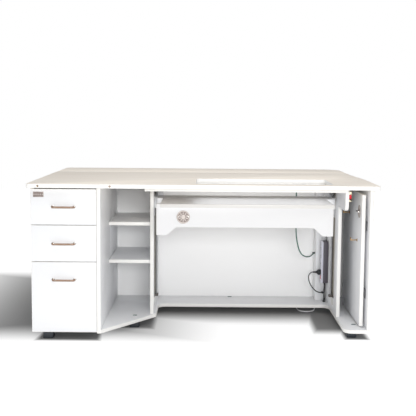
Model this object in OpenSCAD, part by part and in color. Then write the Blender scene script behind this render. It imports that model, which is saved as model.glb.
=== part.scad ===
// Sewing table with a drawer pedestal, an open shelf bay, an electric machine
// lift in the kneehole, a pull-out hoop rack and a drop leaf at the back.
// Millimetres, +Z up. The modules draw in table coordinates: X from the middle
// of the table, Y from the front edge of the top, Z from the floor. place()
// moves them so that the origin is the middle of the whole table on the floor.

/* [Overall] */
// Width of the top
table_w = 1718; // [1420:1:2070]
// Height of the working surface
table_h = 775; // [640:1:930]
// Depth of the fixed part of the top
main_top_d = 812; // [790:1:980]
// Depth of the folding leaf behind it
leaf_d = 326; // [270:1:392]
// Thickness of the top and the leaf
top_t = 19; // [16:0.5:25]

/* [Cabinet] */
// Thickness of the upright panels, the floor board and the shelves
panel_t = 18; // [15:0.5:22]
// Thickness of the back panel
back_t = 16; // [12:0.5:20]
// Height of the block feet
foot_h = 31; // [26:1:38]
// How far the top overhangs the cabinet at the left end
left_overhang = 13; // [8:1:20]
// How far the top overhangs the cabinet at the right end, in front
right_overhang = 20; // [14:1:28]
// How far the fixed top overhangs the cabinet at the back
back_overhang = 21; // [21:1:40]
// How far the drawer fronts stand behind the top's front edge
front_setback = 30; // [29:1:45]
// Clear width inside the drawer pedestal
drawer_bay_w = 307.5; // [250:0.5:370]
// Clear width of the open shelf bay
shelf_bay_w = 221.5; // [180:0.5:270]
// Clear width of the hoop bay at the right end
hoop_bay_w = 94; // [84:0.5:114]
// Front of the left divider, from the top's front edge
left_divider_y = 350; // [250:1:375]
// Front of the right divider below its wing
right_divider_y = 315; // [230:1:360]
// Front of the right end panel
right_end_y = 62; // [50:1:100]
// Front of the kneehole's floor strip
knee_floor_y = 576; // [560:1:620]

/* [Machine opening] */
// Width of the machine opening
opening_w = 680; // [500:1:760]
// Depth of the machine opening
opening_d = 290; // [240:1:315]
// Front of the machine opening, from the top's front edge
opening_y = 80; // [70:1:100]
// How far the opening sits to the right of the kneehole's middle
opening_shift = 80; // [0:1:100]

/* [Lift] */
// Gap between the platform and each kneehole side
platform_gap = 50; // [48:1:60]
// Depth of the lift platform
platform_d = 415; // [380:1:440]
// Front of the lift platform
platform_y = 93; // [85:1:110]
// Height of the working surface above the platform
platform_drop = 103; // [95:1:125]
// Height of the apron in the middle
apron_h = 99; // [80:1:119]
// How much further the apron's end lobes reach down
lobe_drop = 41; // [34:1:50]
// Middle of the lift rails, from the top's front edge
rail_y = 455; // [440:1:470]
// Width of the lift rails
rail_w = 90; // [80:1:100]
// Radius of the lead screws
screw_r = 6; // [5:0.1:7.2]

/* [Drawers] */
// Height of the top drawer front
top_front_h = 175; // [140:1:210]
// Height of the middle drawer front
middle_front_h = 179; // [150:1:215]
// Depth of the drawer boxes
drawer_d = 600; // [500:1:620]
// Thickness of one side's drawer runner
runner_t = 12.7; // [10:0.1:15.3]
// Distance between a handle's posts
handle_pitch = 106; // [88:1:128]
// Radius of the handle bar
handle_r = 5; // [4:0.25:6]
// How far a handle stands out
handle_out = 27; // [24:1:28]

/* [Hoop rack] */
// Depth of the hoop rack panel
rack_d = 430; // [360:1:515]
// Thickness of the hoop rack's slides
rack_slide_t = 12.7; // [10:0.1:15]

/* [Leaf support] */
// Length of the leaf support arms between pivot and tip
arm_l = 240; // [200:1:260]
// Distance from the top's underside down to the arm pivots
arm_pivot_drop = 154; // [150:1:170]

/* [Hidden] */

$fn = 48;
fit = 0.05;          // radial clearance of a running fit
gap = 0.3;           // clearance between pieces that pass each other
joint_gap = 0.2;     // glue line between boards of one carcass

// Levels
under_top = table_h - top_t;
floor_z = foot_h + panel_t;
half_w = table_w / 2;
leaf_gap = 2;
leaf_y = main_top_d + leaf_gap;
total_d = leaf_y + leaf_d;

// Upright planes, from left to right
left_out = -half_w + left_overhang;
left_in = left_out + panel_t;
pedestal_in = left_in + drawer_bay_w;
pedestal_out = pedestal_in + panel_t;
shelf_right = pedestal_out + shelf_bay_w;
knee_left = shelf_right + panel_t;
right_out = half_w - right_overhang;
right_in = right_out - panel_t;
divider_out = right_in - hoop_bay_w;
knee_right = divider_out - panel_t;
knee_mid = (knee_left + knee_right) / 2;
back_out = main_top_d - back_overhang;
back_in = back_out - back_t;

// Outline of the top
top_corner_r = 20;
side_step = right_overhang;      // the right side narrows to the cabinet's own width
step_from = 340;
step_to = 760;
leaf_left_r = 35;
leaf_right_r = 100;

// Edge inserts in the top's front edge
insert_x = [-half_w + 59, -half_w + 407];
insert_l = 11;
insert_r = 5;
insert_bore_r = 3;

// Machine opening
opening_left = knee_mid + opening_shift - opening_w / 2;
opening_right = opening_left + opening_w;
opening_back = opening_y + opening_d;
frame_t = 20;
frame_h = 18;

// Floor board
floor_corner_r = 42;
nose_r = 12;
left_tip = knee_left + 14;

// Shelf pins
pin_r = 2.5;
pin_l = 7;

// Lift
platform_left = knee_left + platform_gap;
platform_right = knee_right - platform_gap - 9;
platform_z = table_h - platform_drop;
platform_t = 18;
apron_t = 18;
apron_lip = 20;
apron_setback = 9;                // behind the platform's front edge
apron_left = platform_left - apron_lip;
apron_right = platform_right - 2;
apron_y = platform_y + apron_setback;
lobe_w = 52;
lobe_run = 45;
apron_r = 16;
medallion_r = 33;
medallion_x = platform_left + 114;
rail_bottom = floor_z + 76;
rail_top = under_top - 21;
rail_t = 2;
recess_d = panel_t - pin_l - 1;   // leaves the web that the shelf pins enter
rail_lip = 12;
screw_u = 8;                     // screw axis, from the divider's face
bearing_h = 12;
arm_top = platform_z;
arm_z = arm_top - 32;
arm_u = 19;                      // start of the arm, from the divider's face
slider_h = 120;
slider_rise = 10;                // slider's top above the platform
motor_r = 19;
motor_l = 90;

// Drawers
front_t = 18;
front_left = left_out + 5;
front_right = pedestal_in - 1.5;
front_gap = 3;
front_top = under_top - 8;
front_low = foot_h + 7;
top_low = front_top - top_front_h;
middle_top = top_low - front_gap;
middle_low = middle_top - middle_front_h;
bottom_top = middle_low - front_gap;
drawer_z = [[top_low, front_top], [middle_low, middle_top], [front_low, bottom_top]];
handle_z = [front_top - 87, middle_top - 90, bottom_top - 87];
box_y = front_setback + front_t;
box_wall = 12;
box_base = 9;
box_lift = 18;                   // box floor above the front's lower edge
box_drop = 30;                   // box rim below the front's upper edge
badge = [52, 1.5, 26.5];
handle_x = (front_left + front_right) / 2;

// Shelves
shelf_y = 370;
shelf_tops = [under_top - 215, under_top - 418];

// Right divider's wing
wing_y = 122;
wing_z = under_top - 118;
wing_r = 35;

// Lift switch on the wing: its rocker faces the front
switch_y = 128;
switch_d = 30;
switch_z = under_top - 70;
switch_h = 50;
switch_w = 14;
rocker_h = 20;
rocker_w = 10.4;
rocker_gap = 0.6;
rocker_pocket = 9;

// Cable duct and power board
duct_left = knee_right - 61;
duct_right = knee_right - 4;
duct_y = back_in - 85;
duct_t = 12;
board_y = [back_in - 163, back_in - 103];
board_z = [floor_z + 115, floor_z + 354];
board_t = 38;
board_face_t = 10;
plug_y = back_in - 133;
board_rocker_z = floor_z + 146;

// Hoop rack
rack_t = 18;
rack_spacer = 0.3;
rack_right = right_in - rack_slide_t - rack_spacer;
rack_left = rack_right - rack_t;
rack_y = 107;
rack_z = [floor_z + 9, under_top - 34];
rack_slide_z = [floor_z + 174, under_top - 191];
rack_slide_h = 45;
rack_slide_l = rack_d - 30;
pull_r = 33;
pull_drop = 123;                 // pull's middle below the top
hook_at = [[433, 66], [433, 160], [213, 276]];  // [y, distance below the top]
hook_l = 36;
hook_r = 2.5;

// Leaf hinges
hinge_r = 4;
hinge_pin_r = 1.8;
hinge_w = 60;
hinge_t = 1.8;
hinge_inset = 190;
hinge_x = [for (i = [0:3]) hinge_inset - half_w + i * (table_w - side_step - 2 * hinge_inset) / 3];
hinge_y = main_top_d + leaf_gap / 2;
hinge_z = under_top - hinge_r;

// Leaf support arms
support_x = [left_out + 290, right_out - 290];
pivot_y = back_out + 10;
pivot_z = under_top - arm_pivot_drop;
pivot_r = 4;
arm_w = 18;
arm_h = 12;
tip_r = 8;
arm_rise = asin((under_top - gap - tip_r - pivot_z) / arm_l);
cheek_t = 3;

// Feet: [x, y] of each block's middle
foot_w = 50;
foot_r = 7;
foot_at = [
    [left_out + 80, front_setback + 42], [shelf_right - 76, left_divider_y - 70],
    [knee_mid - 70, back_in - 60], [right_in - 68, right_end_y + 63],
    [left_out + 80, back_in - 40], [shelf_right - 16, back_in - 40],
    [knee_right - 206, back_in - 40], [right_out - 58, back_in - 40]
];
plug_at = [[shelf_right - 78, left_divider_y - 32], [knee_mid - 66, back_in - 20],
    [right_in - 47, right_end_y + 107]];

// Leads: radius, and the points that each follows from the corner that it belongs to
function from(corner, route) = [for (p = route) corner + p];
control_r = 3.5;
appliance_r = 3;
board_lead_r = 3.5;
mains_r = 3.2;
control_path = from([knee_right, back_in, under_top], [
    [-194, -215, -12], [-194, -215, -36], [-194, -215, -76], [-194, -214, -126],
    [-194, -213, -176], [-194, -211, -226], [-192, -208, -271], [-188, -202, -316],
    [-180, -192, -360], [-168, -178, -398], [-151, -160, -426], [-130, -139, -441],
    [-109, -115, -448], [-92, -89, -449], [-79, -67, -445], [-69, -52, -440], [-61, -45, -438]
]);
appliance_path = from([knee_right, back_in, floor_z], [
    [-79, -133, 174], [-88, -133, 173], [-97, -132, 167], [-103, -130, 156], [-105, -127, 141],
    [-102, -124, 123], [-95, -121, 104], [-85, -119, 87], [-72, -117, 71], [-58, -114, 59],
    [-44, -110, 52], [-32, -104, 49], [-23, -95, 47], [-19, -85, 46]
]);
board_path = from([knee_right, back_in, floor_z], [
    [-14, -133, 115], [-14, -133, 101], [-15, -132, 81], [-16, -130, 61], [-16, -128, 41],
    [-15, -127, 21], [-15, -127, 6]
]);
mains_path = from([knee_right, back_out, 0], [
    [-66, -101, 18], [-66, -111, 17.5], [-66, -122, 14], [-67, -134, 8.5], [-70, -146, 4.4],
    [-76, -161, 3.3], [-88, -177, 3.3], [-104, -187, 3.3], [-122, -189, 3.3], [-140, -185, 3.3],
    [-154, -174, 3.3], [-163, -157, 3.3], [-166, -137, 3.3], [-166, -101, 3.3], [-165, -61, 3.3],
    [-164, -21, 3.3], [-163, 19, 3.3], [-163, 59, 3.3], [-164, 99, 3.3], [-165, 139, 3.3]
]);
coil_at = [knee_right - 203.4, back_out + 139];
coil_r = 35.2;
coil_layers = 4;
tail_path = from([knee_right, back_out, 0], [
    [-165, 139, 22.4], [-165, 154, 21.4], [-165, 169, 19], [-165, 184, 16], [-165, 197, 14.4],
    [-165, 209, 14]
]);
plug_r = 14;

// Helpers

module place() { translate([0, -total_d / 2, 0]) children(); }

// A box from its two limits along each axis
module board(x, y, z) {
    translate([x[0], y[0], z[0]]) cube([x[1] - x[0], y[1] - y[0], z[1] - z[0]]);
}

// A round bar along X, Y or Z
module rod_x(x, y, z, r) {
    translate([x[0], y, z]) rotate([0, 90, 0]) cylinder(r = r, h = x[1] - x[0]);
}
module rod_y(x, y, z, r) {
    translate([x, y[1], z]) rotate([90, 0, 0]) cylinder(r = r, h = y[1] - y[0]);
}
module rod_z(x, y, z, r) {
    translate([x, y, z[0]]) cylinder(r = r, h = z[1] - z[0]);
}

// A plate that stands in the YZ plane, from its outline [y, z]
module plate_x(x, outline) {
    translate([x[0], 0, 0]) rotate([90, 0, 90]) linear_extrude(x[1] - x[0]) polygon(outline);
}
// A plate that stands in the XZ plane, from its outline [x, z]
module plate_y(y, outline) {
    translate([0, y[1], 0]) rotate([90, 0, 0]) linear_extrude(y[1] - y[0]) polygon(outline);
}
// A flat plate from its outline [x, y]
module plate_z(z, outline) {
    translate([0, 0, z[0]]) linear_extrude(z[1] - z[0]) polygon(outline);
}

function unit(v) = v / norm(v);
function turn(v, a) = [v.x * cos(a) - v.y * sin(a), v.x * sin(a) + v.y * cos(a)];

// The arc that rounds the corner b between a and c
function corner(a, b, c, r, n) =
    r == 0 ? [b] :
    let (
        u = unit(a - b),
        w = unit(c - b),
        half = acos(u * w) / 2,
        centre = b + unit(u + w) * r / sin(half),
        first = b + u * r / tan(half) - centre,
        last = b + w * r / tan(half) - centre,
        way = sign(first.x * last.y - first.y * last.x)
    )
    [for (i = [0:n]) centre + turn(first, way * (180 - 2 * half) * i / n)];

// An outline of [x, y, radius] corners with each corner rounded
function rounded(p, n = 8) = [
    for (i = [0:len(p) - 1])
        let (a = p[(i + len(p) - 1) % len(p)], b = p[i], c = p[(i + 1) % len(p)])
        each corner([a.x, a.y], [b.x, b.y], [c.x, c.y], b.z, n)
];

function rectangle(x, y, r) =
    rounded([[x[0], y[0], r], [x[1], y[0], r], [x[1], y[1], r], [x[0], y[1], r]]);

// A smooth curve through hand-chosen points, each stretch cut into k
function between(a, b, c, d, t) =
    0.5 * (2 * b + (c - a) * t + (2 * a - 5 * b + 4 * c - d) * t * t
    + (3 * b - a - 3 * c + d) * t * t * t);
function smooth(p, k) = [
    for (i = [0:len(p) - 2], j = [0:k - 1])
        between(p[max(i - 1, 0)], p[i], p[i + 1], p[min(i + 2, len(p) - 1)], j / k),
    p[len(p) - 1]
];
function along(p, i) = unit(p[min(i + 1, len(p) - 1)] - p[max(i - 1, 0)]);
function square_to(v, t) = unit(v - (v * t) * t);
function sides(p) = [
    for (
        i = 0, n = square_to([0.6, 0.8, 0.1], along(p, 0));
        i < len(p);
        i = i + 1, n = i < len(p) ? square_to(n, along(p, i)) : n
    ) n
];

// A lead: a tube of eight sides swept along its points
module lead(route, r, k) {
    p = smooth(route, k);
    n = sides(p);
    m = 8;
    rings = len(p);
    points = [
        for (i = [0:rings - 1], j = [0:m - 1])
            let (a = 360 * j / m)
            p[i] + r * (cos(a) * n[i] + sin(a) * cross(along(p, i), n[i]))
    ];
    walls = [
        for (i = [0:rings - 2], j = [0:m - 1])
            let (a = i * m + j, b = i * m + (j + 1) % m)
            each [[a, a + m, b], [b, a + m, b + m]]
    ];
    start_cap = [for (j = [0:m - 1]) j];
    end_cap = [for (j = [m - 1:-1:0]) (rings - 1) * m + j];
    polyhedron(points = points, faces = concat(walls, [start_cap, end_cap]));
}

// Places children on one side of the kneehole: u runs from the divider's face
// into the kneehole, and from 0 back into the board
module on_left() { translate([knee_left, 0, 0]) children(); }
module on_right() { translate([knee_right, 0, 0]) mirror([1, 0, 0]) children(); }

// Top

function right_edge(y) =
    half_w - side_step * (1 - cos(180 * (y - step_from) / (step_to - step_from))) / 2;

top_outline = rounded(concat(
    [[-half_w, main_top_d, 0], [-half_w, 0, top_corner_r], [half_w, 0, top_corner_r]],
    [for (i = [0:12]) let (y = step_from + (step_to - step_from) * i / 12) [right_edge(y), y, 0]],
    [[half_w - side_step, main_top_d, 0]]
));

module main_top() {
    place() color([0.87, 0.84, 0.79]) difference() {
        plate_z([under_top, table_h], top_outline);
        plate_z([under_top - 1, table_h + 1],
            rectangle([opening_left, opening_right], [opening_y, opening_back], 15));
        for (x = insert_x)
            rod_y(x, [-1, insert_l], table_h - top_t / 2, insert_r);
    }
}

module edge_inserts() {
    place() color([0.6, 0.45, 0.3])
    for (x = insert_x) difference() {
        rod_y(x, [0, insert_l], table_h - top_t / 2, insert_r);
        rod_y(x, [-1, insert_l + 1], table_h - top_t / 2, insert_bore_r);
    }
}

module opening_frame() {
    z = [under_top - frame_h, under_top];
    y = [opening_y - frame_t - 2, opening_back + frame_t + 2];
    place() color([0.97, 0.96, 0.95]) {
        board([knee_left - 24, knee_right - 2], [y[0], y[0] + frame_t], z);
        board([knee_left + 0.5, knee_right - 0.5], [y[1] - frame_t, y[1]], z);
        for (x = [opening_left - frame_t - 2, opening_right + 2])
            board([x, x + frame_t], [y[0] + frame_t + joint_gap, y[1] - frame_t - joint_gap], z);
    }
}

module back_leaf() {
    x = [-half_w, half_w - side_step];
    y = [leaf_y, total_d];
    place() color([0.86, 0.82, 0.76]) plate_z([under_top, table_h], rounded([
        [x[0], y[0], 0], [x[1], y[0], 0], [x[1], y[1], leaf_right_r], [x[0], y[1], leaf_left_r]
    ]));
}

// Leaf hinges: the fixed halves carry the outer knuckles, the moving halves the middle one

module knuckles(x, bore) {
    difference() {
        union() {
            rod_x(x, hinge_y, hinge_z, hinge_r);
            children();
        }
        rod_x([x[0] - 1, x[1] + 1], hinge_y, hinge_z, bore);
    }
}

module leaf_hinges_fixed() {
    z = [under_top - hinge_t, under_top];
    place() color("silver") for (x = hinge_x, s = [-1, 1]) {
        span = s < 0 ? [x - hinge_w / 2, x - hinge_w / 6 - gap] : [x + hinge_w / 6 + gap, x + hinge_w / 2];
        knuckles(span, hinge_pin_r) board(span, [back_out + 0.5, hinge_y], z);
    }
}

module leaf_hinges_moving() {
    z = [under_top - hinge_t, under_top];
    y = hinge_y + hinge_r + 1;
    place() color("silver") for (x = hinge_x) {
        span = [x - hinge_w / 6, x + hinge_w / 6];
        knuckles(span, hinge_pin_r + fit) {
            board(span, [hinge_y, y], z);
            board([x - hinge_w / 2, x + hinge_w / 2], [y, y + 18], z);
        }
    }
}

module leaf_hinge_pins() {
    place() color("gray") for (x = hinge_x)
        rod_x([x - hinge_w / 2, x + hinge_w / 2], hinge_y, hinge_z, hinge_pin_r);
}

// Leaf support arms

module support_brackets() {
    place() color("silver") for (x = support_x) difference() {
        union() {
            board([x - arm_w, x + arm_w], [back_out, back_out + cheek_t],
                [pivot_z - 30, pivot_z + 30]);
            for (s = [-1, 1])
                board(s < 0 ? [x - arm_w / 2 - gap - cheek_t, x - arm_w / 2 - gap]
                    : [x + arm_w / 2 + gap, x + arm_w / 2 + gap + cheek_t],
                    [back_out, pivot_y + 9], [pivot_z - 12, pivot_z + 12]);
        }
        rod_x([x - arm_w, x + arm_w], pivot_y, pivot_z, pivot_r);
    }
}

module support_pins() {
    reach = arm_w / 2 + gap + cheek_t + 1;
    place() color("gray") for (x = support_x)
        rod_x([x - reach, x + reach], pivot_y, pivot_z, pivot_r);
}

module support_arm(x) {
    place() color([0.9, 0.9, 0.88])
    translate([x - arm_w / 2, pivot_y, pivot_z]) rotate([arm_rise, 0, 0]) difference() {
        union() {
            board([0, arm_w], [0, arm_l], [-arm_h / 2, arm_h / 2]);
            rod_x([0, arm_w], 0, 0, arm_h / 2);
            rod_x([0, arm_w], arm_l, 0, tip_r);
        }
        rod_x([-1, arm_w + 1], 0, 0, pivot_r + fit);
    }
}

module support_arm_left() { support_arm(support_x[0]); }
module support_arm_right() { support_arm(support_x[1]); }

// Cabinet

module bottom_board() {
    outline = rounded([
        [left_out, box_y + 1.5, 0],
        [pedestal_in - 0.75, box_y + 1.5, 0],
        [pedestal_in - 0.75, front_setback, 0],
        [pedestal_out, front_setback, nose_r],
        [left_tip, left_divider_y + 5, 8],
        [left_tip, knee_floor_y, floor_corner_r],
        [knee_right, knee_floor_y, floor_corner_r],
        [knee_right, right_end_y, floor_corner_r],
        [right_out, right_end_y, 6],
        [right_out, back_in, 0],
        [left_out, back_in, 0]
    ]);
    place() color([0.96, 0.97, 0.97]) plate_z([foot_h, floor_z], outline);
}

module floor_plugs() {
    place() color([0.3, 0.38, 0.38]) for (p = plug_at)
        plate_z([floor_z, floor_z + 1.5], rectangle([p.x - 12, p.x + 12], [p.y - 7, p.y + 7], 6.9));
}

module feet() {
    place() color([0.12, 0.14, 0.16]) for (p = foot_at)
        plate_z([0, foot_h], rectangle([p.x - foot_w / 2, p.x + foot_w / 2],
            [p.y - foot_w / 2, p.y + foot_w / 2], foot_r));
}

module left_end_panel() {
    place() color([0.97, 0.97, 0.98])
        board([left_out, left_in], [box_y + 1.5, back_in], [floor_z, under_top]);
}

// Blind holes for the shelf pins, or the pins themselves: one at each shelf's corners
module at_shelf_pins() {
    for (z = shelf_tops, y = [shelf_y + 40, back_in - 60])
        translate([0, y, z - panel_t - pin_r]) children();
}

module pedestal_side_panel() {
    place() color([0.97, 0.97, 0.98]) difference() {
        board([pedestal_in, pedestal_out], [front_setback, back_in], [floor_z, under_top]);
        at_shelf_pins() rod_x([pedestal_out - pin_l, pedestal_out + 1], 0, 0, pin_r);
    }
}

module shelf_pins() {
    place() color("silver") at_shelf_pins() {
        rod_x([pedestal_out - pin_l, pedestal_out + pin_l], 0, 0, pin_r);
        rod_x([shelf_right - pin_l, shelf_right + pin_l], 0, 0, pin_r);
    }
}

// The recess that holds a guide rail, with a round lower end
module rail_recess() {
    w = rail_w + 0.6;
    plate_x([-recess_d, 1], rounded([
        [rail_y - w / 2, rail_bottom - w / 2, w / 2 - 0.1],
        [rail_y + w / 2, rail_bottom - w / 2, w / 2 - 0.1],
        [rail_y + w / 2, rail_top, 0],
        [rail_y - w / 2, rail_top, 0]
    ], 12));
}

module left_divider() {
    place() color([0.97, 0.97, 0.98]) difference() {
        board([shelf_right, knee_left], [left_divider_y, back_in], [floor_z, under_top]);
        on_left() rail_recess();
        at_shelf_pins() rod_x([shelf_right - 1, shelf_right + pin_l], 0, 0, pin_r);
    }
}

module right_divider() {
    outline = rounded([
        [right_divider_y, floor_z, 0], [back_in, floor_z, 0], [back_in, under_top, 0],
        [wing_y, under_top, 0], [wing_y, wing_z, wing_r], [right_divider_y, wing_z, 6]
    ]);
    place() color([0.97, 0.97, 0.97]) difference() {
        plate_x([knee_right, divider_out], outline);
        on_right() rail_recess();
    }
}

module right_end_panel() {
    place() color([0.95, 0.95, 0.95])
        board([right_in, right_out], [right_end_y, back_in], [floor_z, under_top]);
}

module back_panel() {
    place() color([0.95, 0.95, 0.95])
        board([left_out, right_out], [back_in, back_out], [foot_h, under_top]);
}

module shelves() {
    place() color([0.97, 0.97, 0.98]) for (z = shelf_tops)
        board([pedestal_out + 0.5, shelf_right - 0.5], [shelf_y, back_in - 0.5], [z - panel_t, z]);
}

// Cable duct in the right back corner of the kneehole

module duct_post() {
    z = [floor_z, under_top];
    side_y = [duct_y + duct_t + joint_gap, back_in];
    entry = control_path[len(control_path) - 1];
    exit = appliance_path[len(appliance_path) - 1];
    place() color([0.95, 0.96, 0.96]) {
        difference() {
            board([duct_left, duct_right], [duct_y, duct_y + duct_t], z);
            rod_y(exit.x, [duct_y - 1, duct_y + duct_t + 1], exit.z, appliance_r + 3);
        }
        difference() {
            board([duct_left, duct_left + duct_t], side_y, z);
            rod_x([duct_left - 1, duct_left + duct_t + 1], entry.y, entry.z, control_r + 3);
        }
        board([duct_right - duct_t, duct_right], side_y, z);
    }
}

// Lift

module rail_side() {
    w = rail_w / 2;
    z = [rail_bottom, rail_top - gap];
    plate_z(z, [
        [-recess_d, rail_y - w], [-0.5, rail_y - w], [-0.5, rail_y - w + rail_lip],
        [-0.5 - rail_t, rail_y - w + rail_lip], [-0.5 - rail_t, rail_y - w + rail_t],
        [-recess_d + rail_t, rail_y - w + rail_t], [-recess_d + rail_t, rail_y + w - rail_t],
        [-0.5 - rail_t, rail_y + w - rail_t], [-0.5 - rail_t, rail_y + w - rail_lip],
        [-0.5, rail_y + w - rail_lip], [-0.5, rail_y + w], [-recess_d, rail_y + w]
    ]);
}

module guide_rails() {
    place() color([0.56, 0.54, 0.5]) {
        on_left() rail_side();
        on_right() rail_side();
    }
}

module bearing_side() {
    for (z = [rail_bottom, rail_top - gap - bearing_h]) difference() {
        union() {
            board([-0.5, screw_u + screw_r + 5], [rail_y - 14, rail_y + 14], [z, z + bearing_h]);
            board([-0.5, 1], [rail_y - rail_w / 2 + 3, rail_y + rail_w / 2 - 3], [z, z + bearing_h]);
        }
        rod_z(screw_u, rail_y, [z - 1, z + bearing_h + 1], screw_r + fit);
    }
}

module screw_bearings() {
    place() color([0.35, 0.35, 0.36]) {
        on_left() bearing_side();
        on_right() bearing_side();
    }
}

module drive_side() {
    board([0, 44], [rail_y - 24, rail_y + 122], [rail_top, under_top]);
    rod_z(22, rail_y + 100, [rail_top - motor_l, rail_top], motor_r);
}

module lift_drives() {
    place() color([0.9, 0.91, 0.92]) {
        on_left() drive_side();
        on_right() drive_side();
    }
}

module lead_screw(u) {
    rod_z(u, rail_y, [rail_bottom + gap, rail_top - gap], screw_r);
}

module lead_screw_left() { place() color("silver") on_left() lead_screw(screw_u); }
module lead_screw_right() { place() color("silver") on_right() lead_screw(screw_u); }

module nut_side() {
    difference() {
        board([0.5, arm_u], [rail_y - 15, rail_y + 15], [arm_z, arm_top - 2]);
        rod_z(screw_u, rail_y, [arm_z - 1, arm_top], screw_r + fit);
    }
}

module lift_nuts() {
    place() color([0.75, 0.6, 0.35]) {
        on_left() nut_side();
        on_right() nut_side();
    }
}

// A lift arm: slider in the rail, two webs beside the nut, and a foot under the platform
module arm_side(reach) {
    slider_z = [arm_top + slider_rise - slider_h, arm_top + slider_rise];
    board([-recess_d + rail_t + 0.4, -rail_t - 0.9], [rail_y - rail_w / 2 + 5, rail_y + rail_w / 2 - 5],
        slider_z);
    for (s = [-1, 1])
        board([-rail_t - 1, arm_u + 1],
            s < 0 ? [rail_y - 28, rail_y - 15.2] : [rail_y + 15.2, rail_y + 28],
            [arm_z - 30, arm_top]);
    board([arm_u, reach - gap], [rail_y - 100, rail_y + 50], [arm_z, arm_top]);
    board([arm_u, reach + 90], [rail_y - 50, rail_y + 50],
        [platform_z - platform_t - 11, platform_z - platform_t]);
}

module lift_arm_left() {
    place() color([0.93, 0.94, 0.95]) on_left() arm_side(platform_left - knee_left);
}
module lift_arm_right() {
    place() color([0.93, 0.94, 0.95]) on_right() arm_side(knee_right - platform_right);
}

module lift_platform() {
    place() color([0.95, 0.95, 0.96]) board([platform_left, platform_right],
        [platform_y, platform_y + platform_d], [platform_z - platform_t, platform_z]);
}

module apron() {
    low = platform_z - platform_t - apron_h;
    lobe = low - lobe_drop;
    top = platform_z - platform_t;
    outline = rounded([
        [apron_left, lobe, 3],
        [apron_left + lobe_w, lobe, apron_r],
        [apron_left + lobe_w + lobe_run, low, apron_r],
        [apron_right - lobe_w - lobe_run, low, apron_r],
        [apron_right - lobe_w, lobe, apron_r],
        [apron_right, lobe, 3],
        [apron_right, top, 0],
        [platform_left - gap, top, 0],
        [platform_left - gap, platform_z, 0],
        [apron_left, platform_z, 3]
    ]);
    place() color([0.97, 0.97, 0.98])
        plate_y([apron_y, apron_y + apron_t], outline);
}

module medallion() {
    z = platform_z - platform_t - apron_h / 2 + 1.5;
    place() color([0.63, 0.57, 0.55]) {
        translate([medallion_x, apron_y, z]) rotate([90, 0, 0]) rotate_extrude() polygon([
            [0, 0], [medallion_r, 0], [medallion_r, 2], [medallion_r - 2, 3.3],
            [medallion_r - 5, 3.3], [medallion_r - 7, 2], [0, 2]
        ]);
    }
}

// Drawers: 0 is the top one

module drawer_front(i) {
    place() color([0.97, 0.97, 0.98]) board([front_left, front_right],
        [front_setback, front_setback + front_t], drawer_z[i]);
}

module drawer_top_front() {
    drawer_front(0);
    x = front_left + 12;
    z = front_top - 13;
    place() color([0.63, 0.57, 0.55])
        board([x, x + badge.x], [front_setback - badge.y, front_setback], [z - badge.z, z]);
}

// Box of five boards, and the moving halves of its two runners
module drawer_box(i) {
    x = [left_in + runner_t, pedestal_in - runner_t];
    y = [box_y + joint_gap, box_y + drawer_d];
    low = max(drawer_z[i][0] + box_lift, floor_z + 12);
    z = [low, drawer_z[i][1] - box_drop];
    inner_x = [x[0] + box_wall + joint_gap, x[1] - box_wall - joint_gap];
    inner_y = [y[0] + box_wall + joint_gap, y[1] - box_wall - joint_gap];
    runner_z = [low + 12, low + 47];
    place() color([0.92, 0.92, 0.9]) {
        board([x[0], x[0] + box_wall], y, z);
        board([x[1] - box_wall, x[1]], y, z);
        board(inner_x, [y[0], y[0] + box_wall], z);
        board(inner_x, [y[1] - box_wall, y[1]], z);
        board(inner_x, inner_y, [low, low + box_base]);
        board([x[0] - runner_t / 2 + gap, x[0] - joint_gap], y, runner_z);
        board([x[1] + joint_gap, x[1] + runner_t / 2 - gap], y, runner_z);
    }
}

module drawer_runners() {
    y = [box_y + 3, box_y + drawer_d];
    place() color("silver") for (i = [0:2]) {
        low = max(drawer_z[i][0] + box_lift, floor_z + 12);
        z = [low + 7, low + 52];
        board([left_in, left_in + runner_t / 2 - gap], y, z);
        board([pedestal_in - runner_t / 2 + gap, pedestal_in], y, z);
    }
}

// A bow handle of one round bar with a bend at each end
module drawer_handle(i) {
    bend = handle_r + 6;
    x = [handle_x - handle_pitch / 2, handle_x + handle_pitch / 2];
    y = front_setback - handle_out + handle_r;
    z = handle_z[i];
    place() color([0.69, 0.57, 0.48]) {
        rod_x([x[0] + bend, x[1] - bend], y, z, handle_r);
        for (s = [0, 1]) {
            rod_y(x[s], [y + bend, front_setback], z, handle_r);
            translate([x[s] + (s == 0 ? bend : -bend), y + bend, z])
                rotate([0, 0, s == 0 ? 180 : 270])
                rotate_extrude(angle = 90) translate([bend, 0]) circle(r = handle_r);
        }
    }
}

module drawer_top_box() { drawer_box(0); }
module drawer_middle_box() { drawer_box(1); }
module drawer_bottom_box() { drawer_box(2); }
module drawer_middle_front() { drawer_front(1); }
module drawer_bottom_front() { drawer_front(2); }
module drawer_top_handle() { drawer_handle(0); }
module drawer_middle_handle() { drawer_handle(1); }
module drawer_bottom_handle() { drawer_handle(2); }

// Hoop rack

module rack_panel() {
    place() color([0.97, 0.96, 0.95]) board([rack_left, rack_right], [rack_y, rack_y + rack_d], rack_z);
}

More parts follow.
